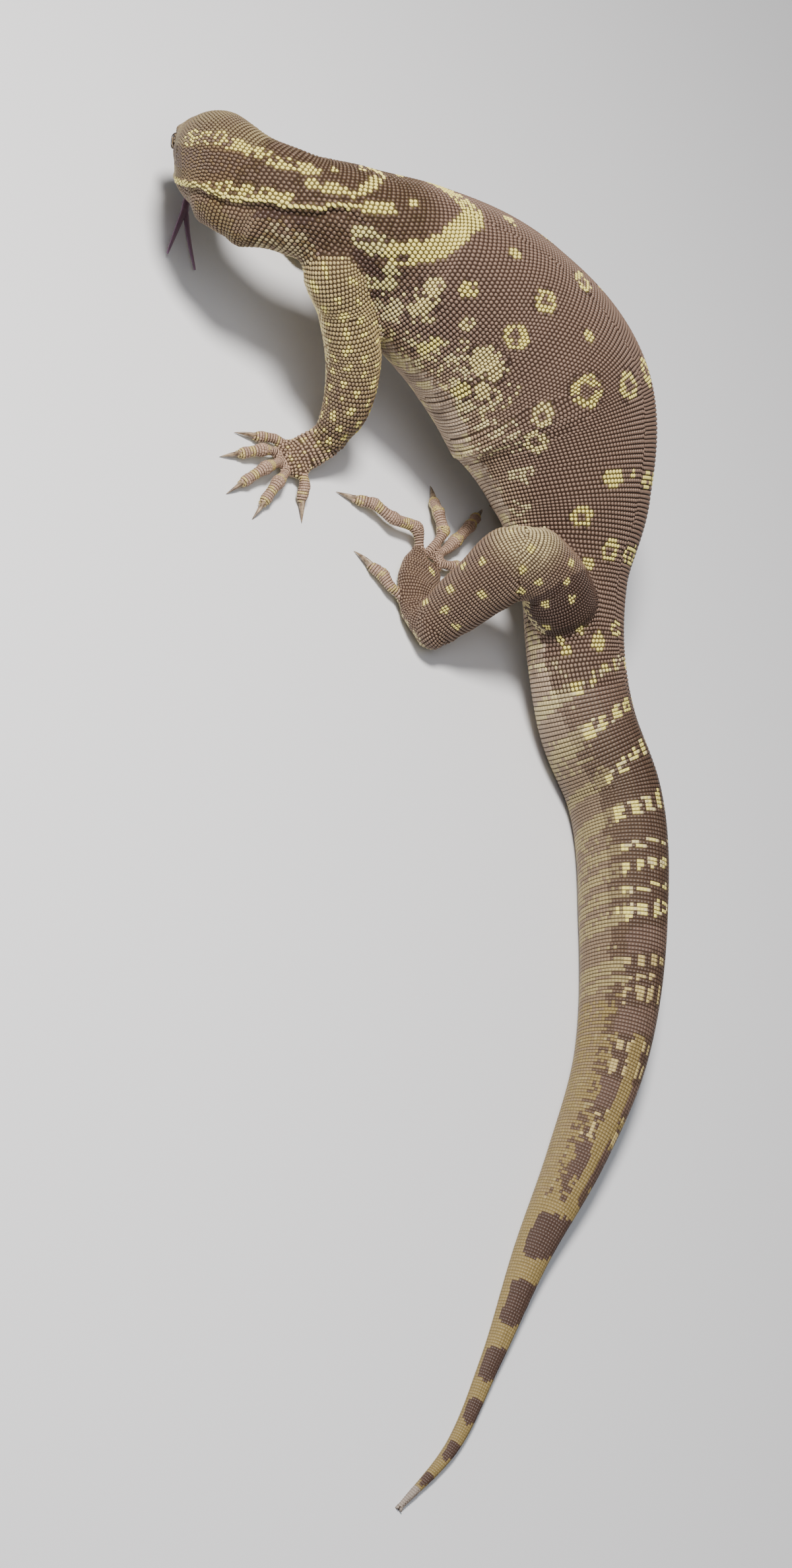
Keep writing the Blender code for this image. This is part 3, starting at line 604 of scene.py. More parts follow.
# The claws. Each is a curved, laterally flattened sheath of horn over the last bone of its
# digit. They are grown rings of keratin, brown at the root and paler towards the worn point.
claw_length = 11.0
claw_half_height = 2.3
claw_half_width = 1.6
claw_arch = 1.6
claw_point_height = 0.5
claw_sunk = 1.2
claw_taper, claw_taper_power = 0.94, 1.3
claw_keel = 0.12
claw_steps = 14
claw_sides = 12
claw_horn, tree, shader = new_material("worn claw horn", {"Roughness": 0.38})
place = add(tree, "ShaderNodeTexCoord")
grain = add(tree, "ShaderNodeTexNoise", {"Vector": place.outputs["Object"], "Scale": 420.0})
horn = add(tree, "ShaderNodeValToRGB", {"Fac": grain.outputs["Fac"]})
for stop, (position, code) in zip(horn.color_ramp.elements, ((0.35, "#5B4A3A"), (0.68, "#A08B70"))):
    stop.position = position
    stop.color = rgba(code)
tree.links.new(horn.outputs["Color"], shader.inputs["Base Color"])

claw_points, claw_faces = [], []
for digits in (left_hand, right_hand, left_foot, right_foot):
    for places in digits.values():
        before_end, end = np.array(places[-2], float), np.array(places[-1], float)
        ahead = unit(end - before_end)
        level = unit((ahead[0], ahead[1], 0.0))
        across = np.cross((0.0, 0.0, 1.0), level)
        root = end - ahead * claw_sunk
        bend = root + ahead * (claw_length + claw_sunk) / 2 + np.array((0.0, 0.0, claw_arch))
        point = end + level * claw_length
        point[2] = claw_point_height
        start = len(claw_points)
        for t in np.linspace(0.0, 1.0, claw_steps):
            taper = 1.0 - claw_taper * t**claw_taper_power
            centre = root * (1 - t)**2 + bend * 2 * t * (1 - t) + point * t**2
            heading = unit((bend - root) * (1 - t) + (point - bend) * t)
            rise = np.cross(heading, across)
            for k in range(claw_sides):
                turn = 2 * math.pi * k / claw_sides
                keel = 1.0 + claw_keel * math.sin(turn)
                claw_points.append((centre + across * math.cos(turn) * claw_half_width * taper
                                    + rise * math.sin(turn) * claw_half_height * taper * keel) * METRES)
        for i in range(claw_steps - 1):
            for k in range(claw_sides):
                a, b = start + i * claw_sides + k, start + i * claw_sides + (k + 1) % claw_sides
                claw_faces.append((a, b, b + claw_sides, a + claw_sides))
        claw_faces.append(tuple(range(start + claw_sides - 1, start - 1, -1)))
        last_ring = start + (claw_steps - 1) * claw_sides
        claw_faces.append(tuple(range(last_ring, last_ring + claw_sides)))
claws = closed_object("claw_sheaths", claw_points, claw_faces)
claws.data.materials.append(claw_horn)
settle(claws)
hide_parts(*[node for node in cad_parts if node.startswith("claw_")])
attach(claws, "root")

# The tongue. It is a long forked ribbon of soft wet flesh, pushed out through the gap at the
# front of the lips and bent back under the chin to touch the floor.
tongue_stem = [((-318, 99, 14), 2.6, 1.5), ((-321, 103, 8.5), 2.6, 1.4), ((-319, 99, 6), 2.4, 1.3),
               ((-313, 92, 5.5), 2.6, 1.2)]
tongue_tips = [
    [((-315, 94, 5.6), 2.0, 1.1), ((-305, 79, 5), 1.5, 1.0), ((-294, 63, 4), 0.7, 0.6)],
    [((-315, 94, 5.6), 2.0, 1.1), ((-298, 84, 5), 1.5, 1.0), ((-280, 76, 4), 0.7, 0.6)],
]
tongue_rings, tongue_sides = 24, 16
tongue_flesh, tree, shader = new_material("wet mauve tongue", {
    "Base Color": rgba("#86697F"), "Roughness": 0.22,
    "Subsurface Weight": 0.15, "Subsurface Radius": (0.002, 0.001, 0.001)})


def tongue_part(name, stations):
    loft = tube_loft(stations)
    distances = np.linspace(0, loft.length, tongue_rings)
    return closed_grid(name, loft, distances, even_angles(tongue_sides), 0.0)


tongue = tongue_part("forked_tongue", tongue_stem)
grow_together(tongue, [tongue_part("fork", tip) for tip in tongue_tips], "UNION")
tongue.data.materials.clear()
tongue.data.materials.append(tongue_flesh)
settle(tongue)
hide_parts("tongue")
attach(tongue, "root")

# The rows of scales. They ring the trunk, the tail and each limb, and stand side by side with a
# thread of bare skin between. On the inside of a bend every other row ends. Each scale is first
# only a root on the skin with the way it lies and its size, in millimetres.
skin_tree = BVHTree.FromPolygons([v.co for v in skin.data.vertices],
                                 [p.vertices for p in skin.data.polygons])
snap_reach = 3.2
outer_gap = 1.12          # spacing on the outside of a bend, in pitches
least_gap = 0.62          # below this spacing, in pitches, every other row ends
tight_gap = 0.30          # below this one only every fourth row goes on
first_row = 0.8
probe = 0.5               # the short way ahead over which the skin's stretch is measured
ring_samples = 73
least_in_ring = 3


def rows_on(loft, pitch, width, first_angle, last_angle, end, in_line_from=np.inf):
    """Rings of scales on a loft, staggered up to in_line_from: s, angle, length and width."""
    found = []
    fine = first_angle + np.linspace(0.0, 1.0, ring_samples) * (last_angle - first_angle)
    whole_ring = last_angle - first_angle > 2 * np.pi - 0.01
    s, row = first_row, 0
    while s < end:
        here = loft.surface(np.full(len(fine), s), fine)
        beyond = loft.surface(np.full(len(fine), s + probe), fine)
        stretch = np.linalg.norm(beyond - here, axis=1) / probe
        wide = np.concatenate([[0.0], np.cumsum(np.linalg.norm(np.diff(here, axis=0), axis=1))])
        size_here = pitch(s)
        step = size_here * outer_gap / np.clip(stretch.max(), 0.6, 3.0)
        count = max(least_in_ring, int(round(wide[-1] / width(s))))
        shift = 0.5 * (row % 2 and s < in_line_from) + (0.0 if whole_ring else 0.25)
        at = (np.arange(count) + shift) / count * wide[-1]
        length = np.interp(at, wide, stretch) * step
        every = np.select([length < tight_gap * size_here, length < least_gap * size_here], [4, 2], 1)
        ring = np.stack([np.full(count, s), np.interp(at, wide, fine), every * length,
                         np.full(count, wide[-1] / count)], axis=1)
        found.append(ring[row % every == 0])
        s += step
        row += 1
    return np.vstack(found)


def rooted(loft, table, relief, kind, part):
    """Sets each scale of a table on the skin; drops those that a limb has grown over."""
    s, angle = table[:, 0], table[:, 1]
    places = loft.surface(s, angle, -SKIN_DEPTH, relief)
    onward = unit(loft.surface(s + 0.4, angle, -SKIN_DEPTH, relief) - places)
    outward = unit(places - loft.at(s)[0][:, :3])
    roots, normals, kept = [], [], []
    for i, place in enumerate(places * METRES):
        hit, normal, _, distance = skin_tree.find_nearest(Vector(place))
        if distance < snap_reach * METRES and normal.dot(Vector(outward[i])) > 0.1:
            roots.append(hit[:])
            normals.append(normal[:])
            kept.append(i)
    kept = np.array(kept, int)
    return {"place": np.array(roots) / METRES, "outward": np.array(normals),
            "tailward": onward[kept], "s": s[kept], "angle": angle[kept],
            "length": table[kept, 2], "width": table[kept, 3],
            "kind": np.full(len(kept), kind), "part": np.full(len(kept), part)}


pitch_knots = [0, 30, station["occiput"], station["neck"], station["vent"], tail_start + 200, body.length]


def body_pitch(s):
    """Distance between rows: fine on the head, coarser on neck and trunk, finer down the tail."""
    return float(np.interp(s, pitch_knots, [1.2, 1.45, 2.0, 2.6, 2.45, 2.0, 1.4]))


def body_width(s):
    return float(np.interp(s, pitch_knots, [1.2, 1.4, 1.9, 2.5, 2.3, 1.9, 1.4]))


def joined(tables):
    return {key: np.concatenate([table[key] for table in tables]) for key in tables[0]}


def not_crowding(table, places, room):
    """Leaves out the scales of a table that would stand on those already placed."""
    tree = tree_of(places)
    keep = np.array([tree.find(place)[2] > room for place in table["place"]])
    return {key: value[keep] for key, value in table.items()}


ON_BODY, ON_LIMB, ON_DIGIT = 0, 1, 2
quarter = np.pi / 2
in_line = 488.0           # behind here the rows of the tail are no longer staggered
arm_pitch, leg_pitch = 2.55, 2.0
limb_slimness = 0.86      # how wide a limb's scale is, in pitches
digit_pitch, digit_width = 1.5, 1.9
limb_room, digit_room = 1.6, 1.5
halves = [rows_on(body, body_pitch, body_width, turn - quarter, turn + quarter, body.length - 1.5, in_line)
          for turn in (0.0, np.pi)]
on_body = rooted(body, np.vstack(halves), body_relief, ON_BODY, 0)
behind_arms = -120        # the arms lie in front of this x, the legs behind it
arm_parts = [k for k, loft in enumerate(limb_lofts) if loft.rows[:, 0].mean() < behind_arms]


def ringed_loft(loft, pitch, width, short_of_end):
    """Whole rings of scales of one size on a limb or digit."""
    return rows_on(loft, lambda s: pitch, lambda s: width, 0.0, 2 * np.pi, loft.length - short_of_end)


limb_tables = []
for k, loft in enumerate(limb_lofts):
    pitch = arm_pitch if k in arm_parts else leg_pitch
    limb_tables.append(rooted(loft, ringed_loft(loft, pitch, limb_slimness * pitch, 0.4), None, ON_LIMB, k))
on_limbs = joined(limb_tables)
on_digits = joined([rooted(loft, ringed_loft(loft, digit_pitch, digit_width, 0.3), knuckles(loft),
                           ON_DIGIT, k) for k, loft in enumerate(digit_lofts)])
limb_order = on_limbs["part"]
firm = []
for k in range(len(limb_lofts)):
    part = {key: value[limb_order == k] for key, value in on_limbs.items()}
    standing = np.vstack([on_body["place"]] + [earlier["place"] for earlier in firm])
    firm.append(not_crowding(part, standing, limb_room))
on_limbs = joined(firm)
on_digits = not_crowding(on_digits, np.vstack([on_body["place"], on_limbs["place"]]), digit_room)
scales = joined([on_body, on_limbs, on_digits])

# scales grow wherever the hide would be left bare between the rows, but not in the eyes, the
# ears and the nostrils, nor on the side that rests on the floor
bare_from, bare_to = 0.76, 2.5    # how far from the nearest scale a bare place lies, in its size
clear_of_floor = 1.0
tree = tree_of(scales["place"])
openings = [(head_point(at, side), reach) for side in (1, -1)
            for at, reach in ((eye_at, eye_radius + 2.5), (ear_at, max(ear_size) + 0.5), (nostril_at, 2.8))]
added, added_near = [], []
for vertex in skin.data.vertices:
    place = np.array(vertex.co[:]) / METRES
    if any(np.linalg.norm(place - centre) < reach for centre, reach in openings):
        continue
    _, nearest, distance = tree.find(place)
    room = 0.5 * (scales["length"][nearest] + scales["width"][nearest])
    in_hollow = vertex.normal.dot(Vector(scales["outward"][nearest])) < 0.5
    if not bare_from * room < distance < bare_to * room or in_hollow or place[2] < clear_of_floor:
        continue
    if all(np.linalg.norm(place - other) > room for other in added):
        added.append(place)
        added_near.append(nearest)
bare = {key: value[added_near] for key, value in scales.items()}
bare["place"] = np.array(added).reshape(-1, 3)
bare["length"] = bare["width"].copy()
scales = joined([scales, bare])

# neighbours push each other apart over the skin, so seams and bends fill evenly
neighbours = 7
easing_rounds = 3
easing = 0.4
most_shove = 0.5
wanted_share = 0.55       # the distance wanted between two scales, in the sum of their sizes
crowded_share = 0.52      # a scale whose neighbours are nearer than this, in its size, goes
room = 0.5 * (scales["length"] + scales["width"])
for _ in range(easing_rounds):
    tree = tree_of(scales["place"])
    near = np.array([[found[1] for found in tree.find_n(place, neighbours)]
                     for place in scales["place"]])
    apart = scales["place"][:, None, :] - scales["place"][near]
    distance = np.linalg.norm(apart, axis=2)
    wanted = wanted_share * (room[:, None] + room[near])
    press = np.clip(1.0 - distance / wanted, 0.0, 1.0) / np.maximum(distance, 0.05)
    shove = easing * (apart * press[:, :, None]).sum(axis=1) * room[:, None]
    shove = np.clip(shove, -most_shove, most_shove)
    shove -= (shove * scales["outward"]).sum(axis=1, keepdims=True) * scales["outward"]
    moved = scales["place"] + shove
    for i, place in enumerate(moved * METRES):
        hit, normal, _, _ = skin_tree.find_nearest(Vector(place))
        moved[i] = hit
        scales["outward"][i] = normal
    scales["place"] = moved / METRES
tree = tree_of(scales["place"])
closeness = np.array([sum(found[2] for found in tree.find_n(place, 5)[1:]) / 4
                      for place in scales["place"]])
apart_enough = closeness > crowded_share * room
scales = {key: value[apart_enough] for key, value in scales.items()}
fit = np.clip(closeness[apart_enough] / (1.02 * room[apart_enough]), 0.6, 1.15)

def beside(away, lengthwise):
    """How far each offset lies sideways, given its share along the body."""
    return np.sqrt(np.maximum((away**2).sum(axis=1) - lengthwise**2, 0.0))


# each scale reaches from the row before to the row behind, so that no crack is left
longest, longest_on_tail = 1.35, 1.6
tree = tree_of(scales["place"])
for i in np.flatnonzero(scales["kind"] == ON_BODY):
    most = longest_on_tail if scales["s"][i] > in_line else longest
    near = [found[1] for found in tree.find_n(scales["place"][i], 10)[1:]]
    away = scales["place"][near] - scales["place"][i]
    lengthwise = away @ scales["tailward"][i]
    in_file = ((beside(away, lengthwise) < 0.6 * scales["width"][i])
               & (np.abs(lengthwise) > 0.4 * scales["length"][i]))
    ahead, behind = lengthwise[in_file & (lengthwise > 0)], -lengthwise[in_file & (lengthwise < 0)]
    if len(ahead) and len(behind):
        reach = 0.5 * (ahead.min() + behind.min()) / fit[i]
        scales["length"][i] = np.clip(reach, 0.8 * scales["length"][i], most * scales["length"][i])

# The markings. The animal is brown with rows of yellow rings and spots, a yellow line along
# the jaw and neck, a dark streak behind the eye, a pale belly and a banded tail. A scale is
# all one colour, so each marking has the stepped edge of whole scales.
chance = np.random.default_rng(7)
palette = {name: np.array(linear(code)) for name, code in {
    "brown": "#755E50", "dark": "#49362D", "yellow": "#E9DA78", "cream": "#D3C38E",
    "olive": "#877A50", "tan": "#A1876A", "grey": "#84705F", "pink": "#AC8F7A",
    "straw": "#BBA66C", "pale": "#DECD88", "buff": "#B29C84", "moss": "#CDC27C",
    "umber": "#64503F", "tip": "#93877C", "bark": "#4A3821", "bronze": "#67512E"}.items()}
s, kind = scales["s"], scales["kind"]
place, tailward = scales["place"], scales["tailward"]
degrees = (np.degrees(scales["angle"]) + 180.0) % 360.0 - 180.0
# the left and right sides carry the same markings, so right angles are folded onto the left
folded = np.where(degrees > 90.0, 180.0 - degrees, np.where(degrees < -90.0, -180.0 - degrees, degrees))
count = len(s)
on_trunk = kind == ON_BODY
tint = np.tile(palette["brown"], (count, 1))
draw = chance.random(count)
blotch_draw = chance.random(100003)


def paint(mask, name, likely=1.0):
    """Gives the scales of a mask a colour of the palette, each with the same likelihood."""
    tint[mask & (chance.random(count) < likely)] = palette[name]


def blend(name, share):
    """Tints every scale towards a colour of the palette by its own share, from 0 to 1."""
    part = np.clip(share, 0.0, 1.0)[:, None]
    tint[:] = tint * (1 - part) + palette[name] * part


def between(values, low, high):
    return (values > low) & (values < high)


def smooth(values, low, high):
    t = np.clip((values - low) / (high - low), 0.0, 1.0)
    return t * t * (3 - 2 * t)


def blocks(along, round_body):
    """One random number for each block of scales along by round_body degrees in size."""
    cell = np.floor(s / along).astype(int) * 733 + np.floor(degrees / round_body).astype(int) * 31
    return blotch_draw[cell % len(blotch_draw)]


def on_skin(at_s, at_degrees):
    turns = np.radians(np.atleast_1d(np.asarray(at_degrees, float)))
    return body.surface(np.atleast_1d(np.asarray(at_s, float)), turns, -SKIN_DEPTH, body_relief)


def spot_reach(centre, along, across):
    """How far each scale lies from a spot's centre, as a fraction of the spot's size."""
    away = place - centre
    lengthwise = (away * tailward).sum(axis=1)
    return np.hypot(lengthwise / along, beside(away, lengthwise) / across)


def on_band(points, half_width):
    """The scales within half_width of a line from point to point over the skin."""
    corners = on_skin([p[0] for p in points], [p[1] for p in points])
    inside = np.zeros(count, bool)
    for a, b in zip(corners[:-1], corners[1:]):
        t = np.clip((place - a) @ (b - a) / ((b - a) @ (b - a)), 0.0, 1.0)
        inside |= np.linalg.norm(place - a - t[:, None] * (b - a), axis=1) < half_width
    return inside & on_trunk


# the belly is buff with cream and grey blocks and fades into the flank; the throat is bronze
edge_at = [0, 60, 76, 95, 113, 131, 150, 200, 230, 250, 265, 400, 480, 560, 690, 760, 840, 940]
edge_degrees = [-12, -16, -22, -34, -29, -30, -40, -36, -31, -24, -20, -22, -14, -6, -14, -22, -27, -42]
belly_edge = np.interp(s, edge_at, edge_degrees)
below = on_trunk & (folded < belly_edge + 8.0 * (draw - 0.5))
flank = on_trunk & between(s, 186, 470)
blend("tan", 0.8 * flank * (1 - smooth(folded, belly_edge, belly_edge + 34)) * (0.5 + 0.8 * draw))
paint(flank & (folded < belly_edge + 30) & (blocks(6.0, 7.0) < 0.28), "cream", 0.7)
paint(below, "buff")
paint(below & (s < 490) & (blocks(7.0, 14.0) < 0.3), "cream", 0.8)
blend("grey", 0.6 * (below & (s < 490) & (blocks(9.0, 16.0) > 0.72)))
throat = below & between(s, 30, 160)
paint(throat, "bronze")
blend("olive", 0.4 * throat * draw)
blend("brown", throat * (0.5 * (blocks(8.0, 12.0) < 0.4)))
blend("cream", 0.4 * (throat & (s > 128) & (draw > 0.5)))

# the head is olive, browner at the temples, with small dark spots along the lips; the cheek is
# bronze and the neck the brown of bark
head = on_trunk & (s < 96)
blend("tan", head * (1 - smooth(s, 60, 90)) * (folded > belly_edge))
blend("olive", 0.75 * (head * (1 - smooth(s, 66, 96)) * (folded > belly_edge)))
blend("olive", 0.7 * (on_trunk & between(s, 60, 108) & (folded > 30)))
blend("umber", 0.4 * (head & (blocks(5.0, 22.0) < 0.25)))
blend("cream", 0.5 * (head & between(folded, -20, 2) & (s < 62)))
paint(head & between(folded, -40, 3) & (blocks(7.0, 13.0) < 0.16), "brown", 0.8)
blend("bronze", 0.75 * smooth(s, 44, 70) * (on_trunk & (s < 112) & between(folded, belly_edge, 14)))
blend("bark", 0.75 * (on_trunk & between(s, 104, 200) & (folded > belly_edge))
      * (1 - smooth(s, 180, 200)) * (0.75 + 0.6 * draw))
blend("umber", 0.3 * (head & (folded > 20)))

# Lines of the head and neck: colour, half width, likelihood, and points as distance from the
# snout and degrees round the body. Each line is drawn on both sides.
lines = [
    # the streak behind the eye
    ("umber", 5.5, 0.7, [(46, 6), (62, 4), (80, -1), (91, -5), (102, -3), (114, -1), (124, 0), (140, 5),
                         (158, 8)]),
    # pale folds in front of the armpit, the patch behind them and the root of the arm
    ("moss", 7.0, 0.97, [(162, 6), (169, 8), (175, 13)]),
    ("moss", 5.0, 0.95, [(181, 2), (184, -9)]),
    ("moss", 3.0, 0.9, [(173, -20), (180, -15)]),
    # dark furrows at the arm, and the crease across the throat between them, painted dark as shade in the
    # creases
    ("dark", 2.6, 0.95, [(163, -8), (171, -9), (179, -8)]),
    ("dark", 2.2, 0.9, [(121, -33), (128, -28), (134, -24), (138, -18)]),
    ("dark", 2.4, 0.9, [(182, -22), (188, -15)]),
    # the front and back of the temple's patch, and the dots below the jaw line
    ("yellow", 4.4, 0.6, [(79, 20), (84, 22), (90, 24), (97, 25)]),
    ("yellow", 3.9, 0.88, [(97, 24), (101, 24), (108, 25), (115, 23), (121, 27), (127, 30)]),
    ("yellow", 2.9, 0.62, [(95, -27), (99, -25), (106, -21), (115, -17), (121, -14), (128, -11)]),
    # the jaw line, the line over the nape, its fork, and the band over the shoulders
    ("yellow", 2.0, 1.0, jaw_fold + [(153, 27), (160, 37), (167, 47)]),
    ("yellow", 2.9, 0.85, [(132, 12), (139, 21), (149, 35), (153, 48), (156, 61), (160, 80), (162, 90)]),
    ("yellow", 3.0, 0.9, [(156, 31), (161, 38), (168, 48)]),
    ("yellow", 6.6, 0.93, [(177, 13), (184, 26), (190, 36), (197, 48), (204, 67), (214, 88)]),
]
for colour, half_width, likely, line in lines:
    paint(on_band(line, half_width), colour, likely)
    paint(on_band([(at_s, 180 - at_degrees) for at_s, at_degrees in line], half_width), colour, likely)

# the folds behind the arm are painted dark in their furrows as shade, and pale beads are strewn below them
fold = on_trunk & between(s, 157, 188) & between(folded, -14, 20)
paint(fold & (arm_pleats(s, folded) < -0.7), "dark", 0.7)
paint(flank & (s < 300) & between(folded, belly_edge, belly_edge + 38) & (draw > 0.8), "pale")

# rings and spots: distance, degrees, half length, half breadth, and the hole of a ring
rings = [(205, 11, 9.0, 6.5, 0.0), (229, -8, 4.0, 9.0, 0.0), (288, 95, 6.5, 8.5, 0.45),
         (267, 59, 6.5, 7.0, 0.3), (264, 31, 8.0, 6.5, 0.38), (264, 10, 10.5, 9.5, 0.0),
         (205, 18, 6.5, 6.5, 0.0), (208, 3, 6.0, 7.0, 0.0), (222, 34, 5.0, 5.0, 0.0),
         (339, 78, 8.5, 9.5, 0.46), (326, 47, 9.0, 9.5, 0.46), (343, 104, 4.5, 7.0, 0.0),
         (280, 1, 5.0, 6.0, 0.0), (271, -10, 5.0, 7.0, 0.0), (234, 17, 4.5, 4.0, 0.0),
         (322, 20, 7.0, 7.0, 0.4), (352, 14, 7.5, 7.5, 0.4), (385, 62, 5.0, 7.5, 0.0),
         (383, 80, 2.6, 2.6, 0.0), (386, 99, 4.5, 8.0, 0.35), (406, 38, 6.2, 6.5, 0.35),
         (423, 72, 6.2, 6.0, 0.42), (423, 100, 4.5, 8.5, 0.45), (468, 89, 4.5, 6.5, 0.42),
         (476, 55, 5.5, 4.5, 0.0), (432, 48, 4.0, 4.0, 0.0), (137, 49, 2.2, 2.2, 0.0),
         (131, 33, 2.2, 2.6, 0.0), (153, 85, 2.2, 3.0, 0.0), (176, 66, 3.0, 3.0, 0.0),
         (240, 76, 4.0, 4.5, 0.0), (302, 66, 3.5, 3.0, 0.0)]
rings += [(at_s, 180 - at_degrees, along, across, hole) for at_s, at_degrees, along, across, hole in rings
          if at_degrees < 86]
for at_s, at_degrees, along, across, hole in rings:
    reach = spot_reach(on_skin(at_s, at_degrees)[0], along, across)
    paint(on_trunk & (reach < 1.0), "yellow" if at_degrees % 180 > 20 else "pale", 0.9)
    paint(on_trunk & (reach < hole), "brown")
    paint(on_trunk & between(reach, 1.0, 1.25), "dark", 0.35)

# the tail: broken yellow bars on brown near the body, then brown saddles on yellow
tail = on_trunk & (s > 480)
upper_tail = tail & (folded > belly_edge)
slanted = s + 0.15 * folded * np.clip((960 - s) / 440, 0.0, 1.0)
# bars of short dashes: distance and half length; past the first saddle they are duller
first_saddle = 664
tail_bars = ((500, 3.6), (525, 4.2), (554, 4.2), (583, 5.2), (606, 2.4), (618, 2.8), (631, 2.4), (644, 4.4),
             (673, 3.2), (682, 1.4), (692, 5.0), (723, 3.2), (737, 4.5), (768, 3.0), (779, 4.5))
low_side = tail & (slanted < 840) & (folded < belly_edge + 24 + 12 * (blocks(5.0, 400.0) - 0.5))
near_bar = np.any([np.abs(slanted - bar) < half + 1.0 for bar, half in tail_bars[:10]], axis=0)
blend("tan", 0.25 * low_side)
paint(low_side & (blocks(1.9, 400.0) < 0.3), "cream", 0.5)
paint(low_side & near_bar, "cream", 0.92)
paint(low_side & (slanted > 690) & (blocks(1.9, 400.0) < 0.7), "straw", 0.6)
blend("grey", 0.45 * (upper_tail & (s < 640) & (folded < belly_edge + 50)))
broken = upper_tail & (slanted > 640)
paint(broken & between(slanted, 764, 840) & (blocks(3.0, 14.0) < 0.5), "straw", 0.85)
crest_stripe = tail & (s > 712) & between(folded, 36 - 0.05 * (s - 712), 58)
paint(crest_stripe | (tail & (slanted > 826)), "straw")
blend("straw", 0.7 * (below & tail) * smooth(s, 640, 800))
# the tail behind the body is darkened all over: painted shade, where the light falls off along the tail
tint *= 1 - np.array((0.52, 0.55, 0.60)) * (tail * smooth(s, 480, 550))[:, None]

in_bar = upper_tail & np.any([np.abs(slanted - bar) < half for bar, half in tail_bars], axis=0)
dash = ((folded + 90) % 20 < 11.5) & (blocks(1.9, 400.0) < 0.9)
lowest = low_side & (folded < belly_edge + 12)
paint(in_bar & dash & (slanted < first_saddle) & ~lowest, "yellow", 0.93)
paint(in_bar & ~low_side & (slanted < first_saddle) & (draw > 0.7), "cream", 0.6)
paint(in_bar & dash & (slanted > first_saddle) & ~low_side & ~crest_stripe, "straw", 0.93)
saddles = [(653, 668), (699, 715), (744, 763), (786, 810), (835, 864), (878, 906), (919, 941),
           (952, 968), (979, 993), (1004, 1014)]
for start, end in saddles:
    ragged = 3.0 * (blocks(400.0, 9.0) - 0.5)
    rounding = 0.004 * np.abs(folded - 15) ** 1.7 * (s > 820)
    saddle = broken & between(slanted + ragged * (s < 860), start, end - rounding)
    paint(saddle & (~low_side | (s > 820)) & (~crest_stripe | (s > 820)), "dark")
front_saddles = broken & (s < 830) & (tint == palette["dark"]).all(axis=1)
blend("brown", front_saddles * (0.6 - 0.4 * smooth(s, 700, 820)))
paint(tail & (s > 1016), "tip")

# arms are yellowish all over; legs are brown with knots of three or four yellow scales
arm = (kind == ON_LIMB) & np.isin(scales["part"], arm_parts)
leg = (kind == ON_LIMB) & ~arm
digit = kind == ON_DIGIT
girth = degrees / 360.0 * 110.0
clusters = np.hypot((s + 5.5 * (np.floor(girth / 11.0) % 2)) % 11.0 - 5.5, girth % 11.0 - 5.5)
blend("umber", arm * (0.75 - 0.45 * smooth(place[:, 2], 50, 85)))
blend("straw", arm * (0.35 * draw + 0.45 * smooth(place[:, 2], 50, 85)))
paint(arm & (clusters < 2.7 + 1.2 * (blocks(11.0, 36.0) - 0.5)), "yellow", 0.85)
blend("umber", leg * 0.35)
blend("tan", leg * 0.25 * draw)
blend("pink", digit * (0.6 + 0.4 * draw))
digit_lengths = np.array([loft.length for loft in digit_lofts])
along_digit = s / np.where(digit, digit_lengths[np.where(digit, scales["part"], 0)], 1.0)
paint(digit & (between(along_digit, 0.40, 0.50) | between(along_digit, 0.70, 0.78) | (along_digit > 0.9)),
      "straw", 0.8)
hand = arm & (place[:, 2] < 20)
blend("pink", 0.5 * hand)
knots = [(-33, 126, 92), (-42, 100, 79), (-32, 107, 80), (-20, 113, 72), (-15, 122, 82), (-33, 102, 70),
         (-9, 119, 60), (2, 132, 69), (1, 126, 58), (8, 127, 57), (-57, 92, 65), (-60, 92, 51),
         (-42, 88, 57), (-69, 113, 13), (-54, 83, 23), (-45, 80, 34), (-53, 84, 42), (-34, 84, 32),
         (-62, 110, 78), (-50, 108, 86), (-25, 120, 86)]
unseen_leg = leg & (place[:, 1] > 150)
paint(unseen_leg & (blocks(6.0, 24.0) < 0.14), "yellow", 0.85)
knee = np.linalg.norm(place - np.array((-56, 112, 84)), axis=1)
blend("cream", leg * (0.45 + 0.35 * draw) * (1 - smooth(knee, 8.0, 26.0)))
# the near thigh is painted nearly dark brown as shade on its shadowed side
blend("dark", 0.97 * (leg & (place[:, 0] > -26) & (place[:, 1] < 150)))
for knot in knots:
    reach = np.linalg.norm(place - np.array(knot), axis=1)
    paint((leg | digit | on_trunk) & (reach < 2.6), "yellow")
sole = (kind != ON_BODY) & (scales["outward"][:, 2] < -0.45)
paint(sole, "cream", 0.7)

# no two scales are quite the same shade
shade = 1.0 + 0.16 * (chance.random(count) - 0.5)
tint *= shade[:, None]

# The scales themselves. Back, flanks, throat and arms carry low oval beads, the belly and tail
# neat rectangular plates, the head and legs small round granules, and the tops of the digits
# broad scutes. All are dry horn, a little glossy, grown from the skin and fixed in it.


